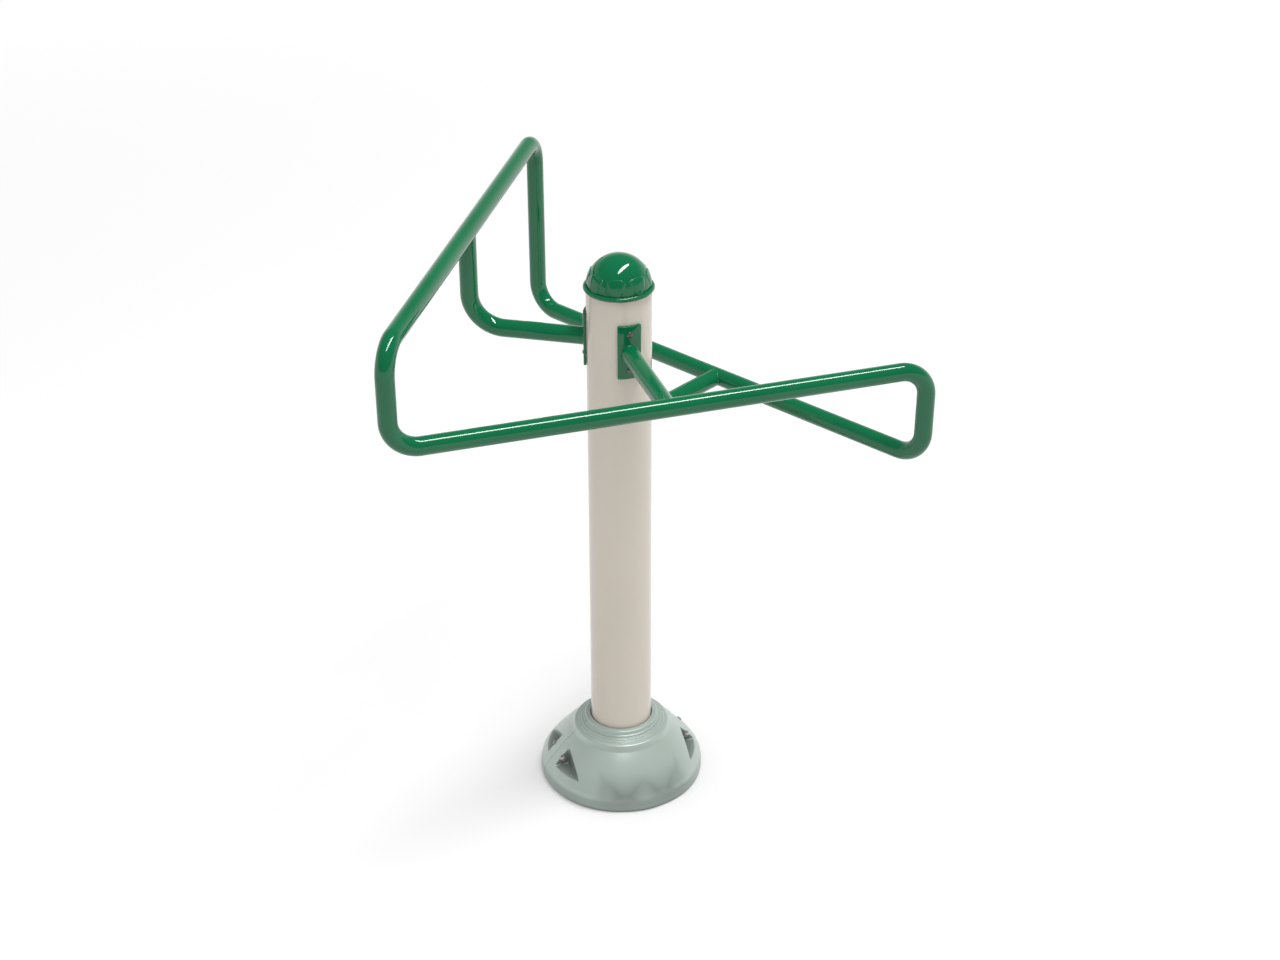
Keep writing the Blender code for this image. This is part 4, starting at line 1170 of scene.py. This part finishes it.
def make_world():
    """An even soft light from all round, with the backdrop for the rays that show it."""
    world = bpy.data.worlds.new("studio")
    bpy.context.scene.world = world
    world.use_nodes = True
    nodes, links = world.node_tree.nodes, world.node_tree.links
    nodes.clear()
    soft = nodes.new("ShaderNodeBackground")
    soft.inputs["Strength"].default_value = SOFT_LIGHT
    soft.inputs["Color"].default_value = (1, 1, 1, 1)
    mix = nodes.new("ShaderNodeMixShader")
    links.new(seen_rays(nodes, links), mix.inputs["Fac"])
    links.new(soft.outputs["Background"], mix.inputs[1])
    links.new(shown_world(nodes, links), mix.inputs[2])
    output = nodes.new("ShaderNodeOutputWorld")
    links.new(mix.outputs["Shader"], output.inputs["Surface"])


def make_key_light():
    """A long oval softbox above the post, turned towards the middle bar's height."""
    lamp = bpy.data.lights.new("key_light", "AREA")
    lamp.shape = "ELLIPSE"
    lamp.size = KEY_LENGTH
    lamp.size_y = KEY_WIDTH
    lamp.energy = KEY_POWER
    light = bpy.data.objects.new("key_light", lamp)
    bpy.context.scene.collection.objects.link(light)
    along = (KEY_RUN - KEY_DIRECTION * KEY_RUN.dot(KEY_DIRECTION)).normalized()
    place = UP * MID_BAR_HEIGHT + KEY_DIRECTION * KEY_DISTANCE
    light.matrix_world = framed(along, KEY_DIRECTION.cross(along), KEY_DIRECTION, place)


def make_camera():
    data = bpy.data.cameras.new("photo_camera")
    data.lens = CAMERA_LENS
    data.sensor_width = CAMERA_SENSOR
    data.clip_end = FLOOR_SIZE
    camera = bpy.data.objects.new("photo_camera", data)
    bpy.context.scene.collection.objects.link(camera)
    forward = CAMERA_HEADING.normalized() * math.cos(CAMERA_TILT) - UP * math.sin(CAMERA_TILT)
    right = forward.cross(UP).normalized()
    camera.matrix_world = framed(right, right.cross(forward), -forward, CAMERA_PLACE)
    bpy.context.scene.camera = camera


def main():
    make_camera()
    dress_cad_nodes()
    make_post()
    make_loop()
    for name, (degrees, height, bar_height) in ARMS.items():
        make_arm(name, degrees, height, bar_height)
        make_plate(name, degrees, height)
        make_plate_bolts(name, degrees, height)
    make_cap()
    make_cover()
    make_cover_bolts()
    make_floor()
    make_world()
    make_key_light()
    bpy.context.scene.view_settings.view_transform = "Standard"


main()
